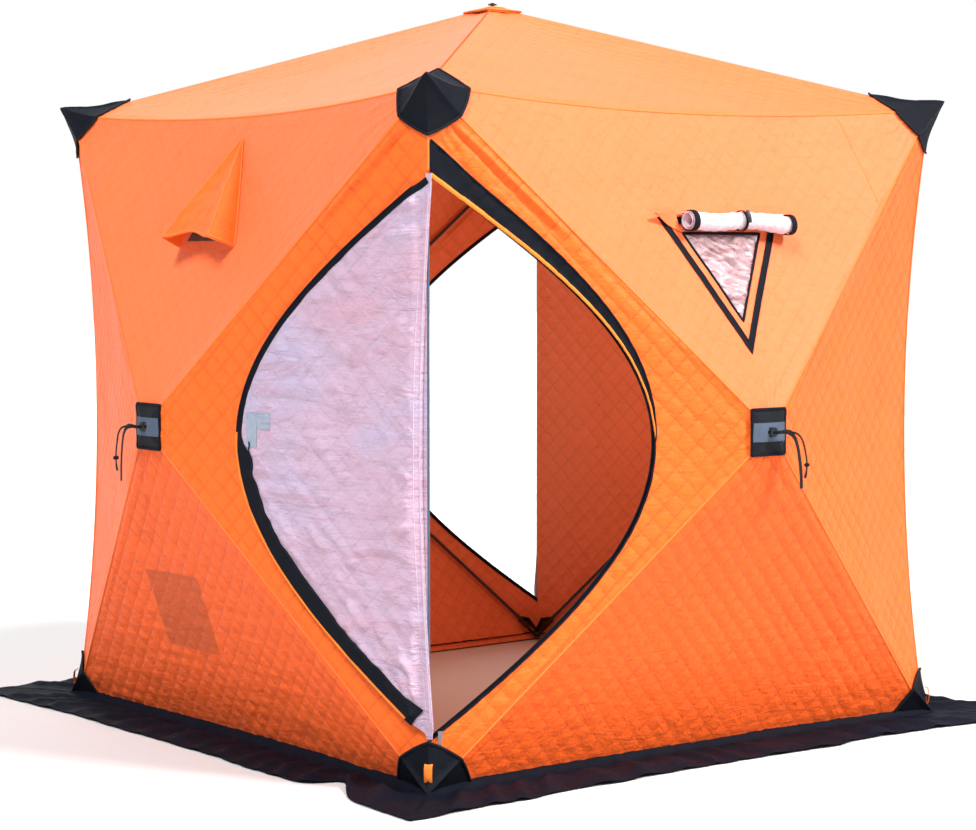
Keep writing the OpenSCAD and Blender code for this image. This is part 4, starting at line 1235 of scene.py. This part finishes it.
class Look:
    """A material under construction, with short calls for its nodes."""

    def __init__(self, name, colour, roughness, **settings):
        self.material = bpy.data.materials.new(name)
        self.material.use_nodes = True
        self.tree = self.material.node_tree
        self.shader = self.tree.nodes["Principled BSDF"]
        self.colour = self.rgb(colour)
        self.shader.inputs["Base Color"].default_value = (*colour, 1)
        self.shader.inputs["Roughness"].default_value = roughness
        for key, value in settings.items():
            self.shader.inputs[key.replace("_", " ")].default_value = value
        self.height = None
        self.coords = self.tree.nodes.new("ShaderNodeTexCoord")

    def node(self, kind, inputs=(), **settings):
        made = self.tree.nodes.new(kind)
        for key, value in settings.items():
            setattr(made, key, value)
        for key, value in dict(inputs).items():
            self.give(made.inputs[key], value)
        return made

    def give(self, socket, value):
        if hasattr(value, "is_output"):
            self.tree.links.new(value, socket)
        else:
            socket.default_value = value

    def rgb(self, colour):
        return (*colour, 1)

    def maths(self, operation, a, b=0.0, c=0.0):
        return self.node("ShaderNodeMath", {0: a, 1: b, 2: c}, operation=operation).outputs[0]

    def mix(self, share, a, b):
        made = self.node("ShaderNodeMix", data_type="RGBA")
        for index, value in ((0, share), (6, a), (7, b)):
            self.give(made.inputs[index], value)
        return made.outputs[2]

    def span(self, value, low, high, to_low=0.0, to_high=1.0):
        return self.node("ShaderNodeMapRange", {0: value, 1: low, 2: high, 3: to_low, 4: to_high}).outputs[0]

    def hills(self, scale, detail=3.0, rough=0.55, distortion=0.0, where="UV", stretch=(1, 1, 1)):
        vector = self.node("ShaderNodeMapping", {"Vector": self.coords.outputs[where], "Scale": stretch})
        made = self.node("ShaderNodeTexNoise", {
            "Vector": vector.outputs[0], "Scale": scale, "Detail": detail, "Roughness": rough,
            "Distortion": distortion})
        return made.outputs["Fac"]

    def uv(self):
        made = self.node("ShaderNodeSeparateXYZ", {0: self.coords.outputs["UV"]})
        return made.outputs[0], made.outputs[1]

    def tint(self, share, colour):
        self.colour = self.mix(share, self.colour, self.rgb(colour))

    def bump(self, height, distance, strength=1.0):
        inputs = {"Height": height, "Distance": distance, "Strength": strength}
        if self.height is not None:
            inputs["Normal"] = self.height
        self.height = self.node("ShaderNodeBump", inputs).outputs[0]

    def weave(self, thread, depth):
        """Fine threads over and under each other."""
        u, v = self.uv()
        wave_u = self.maths("SINE", self.maths("MULTIPLY", u, TAU / thread))
        wave_v = self.maths("SINE", self.maths("MULTIPLY", v, TAU / thread))
        self.bump(self.maths("MULTIPLY", wave_u, wave_v), depth, 0.6)

    def done(self):
        self.give(self.shader.inputs["Base Color"], self.colour)
        if self.height is not None:
            self.give(self.shader.inputs["Normal"], self.height)
        return self.material


def stitch_far(look):
    """Distance to the nearest line of quilting, in metres."""
    u, v = look.uv()
    shares = []
    for op in ("ADD", "SUBTRACT"):
        a = look.maths("DIVIDE", look.maths(op, u, v), math.sqrt(2) * QUILT_PITCH)
        shares.append(look.maths("PINGPONG", a, 0.5))
    return look.maths("MULTIPLY", look.maths("MINIMUM", *shares), QUILT_PITCH)


def quilted(name, colour, stitch_and_shade_colour, stitch_and_shade_share, crease, roughness=0.5, patches=(), shadow=None,
            **settings):
    """Quilted nylon: stitched diamonds, small creases between them, a fine weave and uneven fading, with
    painted shade in the crease hollows and in a soft band along the stitching.
    """
    look = Look(name, colour, roughness, **settings)
    far = stitch_far(look)
    broken = look.span(look.hills(9.0, 4.0, 0.6, 0.4), 0.34, 0.58, 0.25, 1.0)
    wide = look.maths("MULTIPLY", broken, look.span(far, 0.0, 0.0085, 1.0, 0.0))
    thin = look.maths("MULTIPLY", broken, look.span(far, 0.0007, 0.0024, 1.0, 0.0))
    faded = look.span(look.hills(3.0, 4.0), 0.35, 0.7)
    look.tint(look.maths("MULTIPLY", faded, 0.20), tuple(min(1.0, c * 1.22 + 0.01) for c in colour))
    for scale, patch in zip((2.3, 3.1), patches):
        look.tint(look.span(look.hills(scale, 4.0, 0.6, 0.5), 0.47, 0.66, 0.0, 0.75), patch)
    if shadow:
        u, v = look.uv()
        beside = look.maths("ABSOLUTE", look.maths("SUBTRACT", u, POCKET_SHIFT))
        middle = (HUB_Z - POCKET_LOW) * LOWER_SCALE - POCKET_H / 2
        above = look.maths("ABSOLUTE", look.maths("SUBTRACT", v, middle))
        inside = look.maths("MULTIPLY", look.span(beside, POCKET_W / 2 - 0.004, POCKET_W / 2, 0.62, 0.0),
                            look.span(above, POCKET_H / 2 - 0.004, POCKET_H / 2, 1.0, 0.0))
        look.tint(inside, shadow)
    creased = look.hills(36.0, 6.0, 0.62, 1.1)
    drawn = look.hills(26.0, 5.0, 0.6, 0.8, stretch=(0.35, 1.6, 1))
    if patches:
        gathers = look.hills(9.0, 5.0, 0.6, 1.0, stretch=(0.55, 2.2, 1))
        # Painted shade: dusky pink crease lines along the gathers.
        look.tint(look.span(gathers, 0.52, 0.64, 0.0, 0.50), (0.44, 0.22, 0.29))
        look.bump(gathers, 0.012, 0.9)
    # Painted shade: the hollows of the creases are darkened with the stitch colour.
    look.tint(look.span(creased, 0.42, 0.30, 0.0, 0.30), stitch_and_shade_colour)
    # Painted shade: a soft band beside each stitch line, where the quilt dips, is darkened; the thin line
    # after it is the stitching itself.
    look.tint(look.maths("MULTIPLY", wide, stitch_and_shade_share * 0.5), stitch_and_shade_colour)
    look.tint(look.maths("MULTIPLY", thin, stitch_and_shade_share), stitch_and_shade_colour)
    look.bump(creased, 0.0045 * crease, 0.8)
    look.bump(drawn, 0.0040 * crease, 0.8)
    look.bump(look.hills(150.0, 4.0, 0.6, 0.5), 0.0007 * crease, 0.6)
    look.bump(thin, 0.0014, -0.6 * min(1.0, stitch_and_shade_share * 2.5))
    look.weave(0.0011, 0.00008)
    return look.done()


def plain_cloth(name, colour, roughness, dust, dust_share=0.25, **settings):
    """Plain woven cloth, a little dusty and creased."""
    look = Look(name, colour, roughness, **settings)
    look.tint(look.span(look.hills(24.0, 6.0, 0.65), 0.45, 0.8, 0.0, dust_share), dust)
    look.bump(look.hills(60.0, 5.0, 0.6, 0.6), 0.0016, 0.7)
    look.weave(0.0012, 0.00018)
    return look.done()


def webbing(name, colour, edge_colour):
    """Woven tape: ribs across it and a rougher line of thread along it."""
    rib = 0.0022
    look = Look(name, colour, 0.72, Sheen_Weight=0.03, Specular_IOR_Level=0.15)
    u, v = look.uv()
    ribs = look.maths("SINE", look.maths("MULTIPLY", u, TAU / rib))
    rows = look.maths("SINE", look.maths("MULTIPLY", v, TAU / (rib * 0.7)))
    look.tint(look.span(ribs, -1.0, 0.2, 0.45, 0.0), edge_colour)
    look.tint(look.span(look.hills(35.0, 5.0), 0.5, 0.8, 0.0, 0.3), tuple(c * 1.6 + 0.004 for c in colour))
    look.bump(look.maths("MULTIPLY", ribs, rows), 0.0004, 0.8)
    return look.done()


def netting(name, colour, behind):
    """Knitted mesh: dark threads with small holes that show the cloth behind."""
    look = Look(name, colour, 0.7)
    u, v = look.uv()
    pitch = 0.0030
    waves = []
    for op in ("ADD", "SUBTRACT"):
        waves.append(look.maths("SINE", look.maths("MULTIPLY", look.maths(op, u, v), TAU / pitch)))
    holes = look.maths("MULTIPLY", *waves)
    look.tint(look.span(holes, 0.15, 0.45, 0.0, 0.75), behind)
    look.bump(holes, 0.0005, -0.7)
    return look.done()


def film(name):
    """Crumpled clear film, a little milky, with painted shade and painted highlights along its crumples."""
    look = Look(name, (0.60, 0.39, 0.42), 0.2, Alpha=0.92, Coat_Weight=0.4, Coat_Roughness=0.12)
    crumples = look.hills(13.0, 6.0, 0.66, 1.2, stretch=(1.0, 3.2, 1))
    # Painted shade: dark brown-red lines where the crumples are high.
    look.tint(look.span(crumples, 0.50, 0.62, 0.0, 0.75), (0.30, 0.11, 0.11))
    # Painted highlights: paler pink where the crumples are low.
    look.tint(look.span(crumples, 0.46, 0.36, 0.0, 0.8), (0.80, 0.60, 0.64))
    look.bump(crumples, 0.010, 1.0)
    look.bump(look.hills(38.0, 6.0, 0.62, 1.4), 0.0060, 1.0)
    return look.done()


def moulded(name, colour, roughness=0.45):
    look = Look(name, colour, roughness)
    look.tint(look.span(look.hills(30.0, 5.0, where="Object"), 0.45, 0.75, 0.0, 0.35),
              tuple(c * 1.8 + 0.015 for c in colour))
    look.bump(look.hills(900.0, 2.0, where="Object"), 0.0001, 0.5)
    look.bump(look.hills(40.0, 4.0, where="Object"), 0.0003, 0.4)
    return look.done()


def metal(name, colour, roughness):
    look = Look(name, colour, roughness, Metallic=1.0)
    look.tint(look.span(look.hills(120.0, 5.0, where="Object"), 0.45, 0.75, 0.0, 0.4),
              tuple(c * 0.6 for c in colour))
    look.bump(look.hills(400.0, 3.0, where="Object", stretch=(1, 1, 0.08)), 0.00012, 0.6)
    return look.done()


def make_materials():
    orange = (0.90, 0.128, 0.010)
    deep = (0.46, 0.045, 0.003)
    sheen = {"Sheen_Weight": 0.06, "Sheen_Roughness": 0.45, "Specular_IOR_Level": 0.22}
    m = {}
    m["quilt"] = quilted("shell_quilted", orange, deep, 0.42, 1.0, **sheen)
    # Painted shade: the lower gores, which face down, and the cloth over the pockets get a darker copy of the
    # orange and of its stitch colour.
    lower = (0.86, 0.108, 0.007), (0.42, 0.036, 0.002), 0.36, 1.1
    m["lower"] = quilted("shell_lower_painted_shade", *lower, **sheen)
    m["pocket"] = quilted("shell_over_pocket", *lower, shadow=(0.40, 0.060, 0.006), **sheen)
    # Painted light: the upper gores and the roof, which face the sky, get paler, whiter copies of the orange
    # that stand in for the sheen on them.
    m["plain"] = quilted("shell_smooth_painted_sheen", (0.93, 0.158, 0.046), (0.60, 0.080, 0.012), 0.16, 0.6, **sheen)
    m["roof"] = quilted("shell_roof_painted_sheen", (0.90, 0.150, 0.035), (0.58, 0.070, 0.010), 0.20, 0.7, **sheen)
    # Painted light: the inside's orange-brown stands in for the glow of light that comes through the orange
    # cloth.
    m["inside"] = quilted("shell_inside_painted_glow", (0.74, 0.20, 0.075), (0.40, 0.09, 0.03), 0.25, 0.8, 0.6)
    m["lining"] = quilted("door_lining", (0.50, 0.345, 0.455), (0.30, 0.20, 0.30), 0.22, 1.8, 0.38,
                          patches=((0.55, 0.285, 0.36), (0.42, 0.37, 0.53)), Sheen_Weight=0.1)
    m["cover"] = quilted("window_cover_lining", (0.72, 0.58, 0.64), (0.45, 0.33, 0.40), 0.20, 1.6, 0.4)
    # Painted highlight: a lighter pink for the tubes along the doors' hinge folds.
    m["hem"] = plain_cloth("lining_fold_highlight", (0.58, 0.45, 0.55), 0.6, dust=(0.50, 0.37, 0.47), Sheen_Weight=0.1)
    m["vent"] = quilted("vent_fabric", orange, deep, 0.04, 0.5, **sheen)
    m["seam"] = plain_cloth("seam_welt", (0.90, 0.165, 0.014), 0.6, dust=(0.72, 0.12, 0.01), dust_share=0.4)
    m["seam_patch"] = webbing("orange_patch", (0.93, 0.20, 0.025), (0.6, 0.10, 0.01))
    m["mesh"] = netting("mesh_netting", (0.030, 0.028, 0.030), (0.30, 0.085, 0.03))
    m["film"] = film("clear_film")
    m["black"] = plain_cloth("black_fabric", (0.0035, 0.0045, 0.0090), 0.62, dust=(0.008, 0.010, 0.017),
                             Specular_IOR_Level=0.10)
    m["skirt"] = plain_cloth("skirt_fabric", (0.0030, 0.0045, 0.0095), 0.6, dust=(0.006, 0.009, 0.017),
                             dust_share=0.4, Specular_IOR_Level=0.07)
    m["binding"] = webbing("orange_binding", (0.95, 0.24, 0.03), (0.55, 0.10, 0.01))
    m["piping"] = webbing("light_piping", (0.95, 0.27, 0.035), (0.7, 0.15, 0.02))
    m["black_web"] = webbing("black_webbing", (0.006, 0.007, 0.011), (0.002, 0.002, 0.004))
    m["grey_web"] = webbing("grey_webbing", (0.085, 0.115, 0.165), (0.04, 0.055, 0.085))
    m["velcro"] = webbing("pale_velcro", (0.33, 0.37, 0.46), (0.24, 0.27, 0.35))
    m["plastic"] = moulded("moulded_plastic", (0.010, 0.011, 0.014))
    m["fibre"] = moulded("pole_fibreglass", (0.030, 0.031, 0.034), 0.3)
    m["steel"] = metal("pin_steel", (0.62, 0.62, 0.64), 0.32)
    m["zip_metal"] = metal("zip_metal", (0.26, 0.26, 0.28), 0.42)
    return m


# Materials of the CAD nodes that stay in view, by the start of the node's name
CAD_LOOKS = {
    "corner_sockets": "plastic", "hub": "plastic", "pins": "steel", "pole": "fibre",
    "zip_sliders": "zip_metal", "corner_tabs": "binding",
}


def dress_cad(m):
    for name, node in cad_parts.items():
        for start, key in CAD_LOOKS.items():
            if name.startswith(start):
                node.data.materials.clear()
                node.data.materials.append(m[key])


# ---------------------------------------------------------------- the studio

# Name, direction, spread in degrees, power and colour
SUNS = (
    ("key", (0.39, -0.64, 0.66), 14, 5.5, (1.0, 0.98, 0.95)),
    ("fill", (-0.54, -0.25, 0.80), 20, 3.6, (0.98, 0.98, 1.0)),
    ("back", (0.35, 0.80, 0.50), 60, 1.0, (1.0, 1.0, 1.0)))


def make_studio():
    """A soft world that the camera sees as white, three suns, a lamp for the glow, and the floor."""
    world = bpy.data.worlds.new("studio")
    world.use_nodes = True
    tree = world.node_tree
    soft, seen = tree.nodes["Background"], tree.nodes.new("ShaderNodeBackground")
    soft.inputs["Color"].default_value = (0.90, 0.95, 1.0, 1)
    soft.inputs["Strength"].default_value = 0.34
    seen.inputs["Color"].default_value = (1.0, 1.0, 1.0, 1)
    rays, mix = tree.nodes.new("ShaderNodeLightPath"), tree.nodes.new("ShaderNodeMixShader")
    tree.links.new(rays.outputs["Is Camera Ray"], mix.inputs[0])
    tree.links.new(soft.outputs[0], mix.inputs[1])
    tree.links.new(seen.outputs[0], mix.inputs[2])
    tree.links.new(mix.outputs[0], tree.nodes["World Output"].inputs["Surface"])
    bpy.context.scene.world = world
    for name, at, spread, power, colour in SUNS:
        lamp = bpy.data.lights.new(name, "SUN")
        lamp.angle = math.radians(spread)
        lamp.energy = power
        lamp.color = colour
        holder = bpy.data.objects.new(name, lamp)
        holder.location = Vector(at) * 6
        holder.rotation_euler = (-Vector(at)).to_track_quat("-Z", "Y").to_euler()
        bpy.context.scene.collection.objects.link(holder)
    glow = bpy.data.lights.new("glow_through_the_cloth", "POINT")
    glow.energy = 13.0
    glow.color = (1.0, 0.72, 0.52)
    glow.shadow_soft_size = 0.35
    inside = bpy.data.objects.new("glow_through_the_cloth", glow)
    inside.location = (0.15, 0.15, 1.05)
    inside.visible_camera = False
    bpy.context.scene.collection.objects.link(inside)
    look = Look("studio_floor", (0.62, 0.62, 0.61), 0.8)
    look.tint(look.span(look.hills(0.8, 3.0, where="Object"), 0.4, 0.7, 0.0, 0.05), (0.58, 0.58, 0.58))
    reach = 40.0
    corners = np.array([[x * reach, y * reach, 0.0] for x, y in ((-1, -1), (1, -1), (1, 1), (-1, 1))])
    build("studio_floor", corners, np.array([[0, 1, 2, 3]]), [look.done()])
    bpy.context.scene.view_settings.view_transform = "Standard"


# ---------------------------------------------------------------- making it all

make_camera()
M = make_materials()
make_studio()
dress_cad(M)
# The gores take lit and shaded copies of the orange: paler above and on the roof, darker below.
OUTER = {"upper": M["plain"], "side": M["quilt"], "lower": M["lower"], "door": M["quilt"], "roof": M["roof"]}
for wall in WALLS:
    has_door = has_window = wall in ("front", "back")
    outer = OUTER if has_door else {**OUTER, "lower": M["pocket"]}
    gores = [make_gore(wall, k, has_door, has_window, outer, M["inside"]) for k in range(4)]
    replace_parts(gores[0], f"wall_{wall}")
    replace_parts(make_roof(wall, OUTER, M["inside"]), "roof_panel")
    make_wall_seams(wall, M)
    make_patch(wall, M)
    make_strap(wall, M)
    if has_door:
        make_opening(wall, M)
        make_window(wall, M)
    else:
        make_vent(wall, M)
        make_pocket(wall, M)
make_patch("roof", M)
make_shell_seams(M)
make_caps(M)
make_tabs(M)
make_skirt(M)
make_door("front", "left", M)
make_door("back", "right", M)
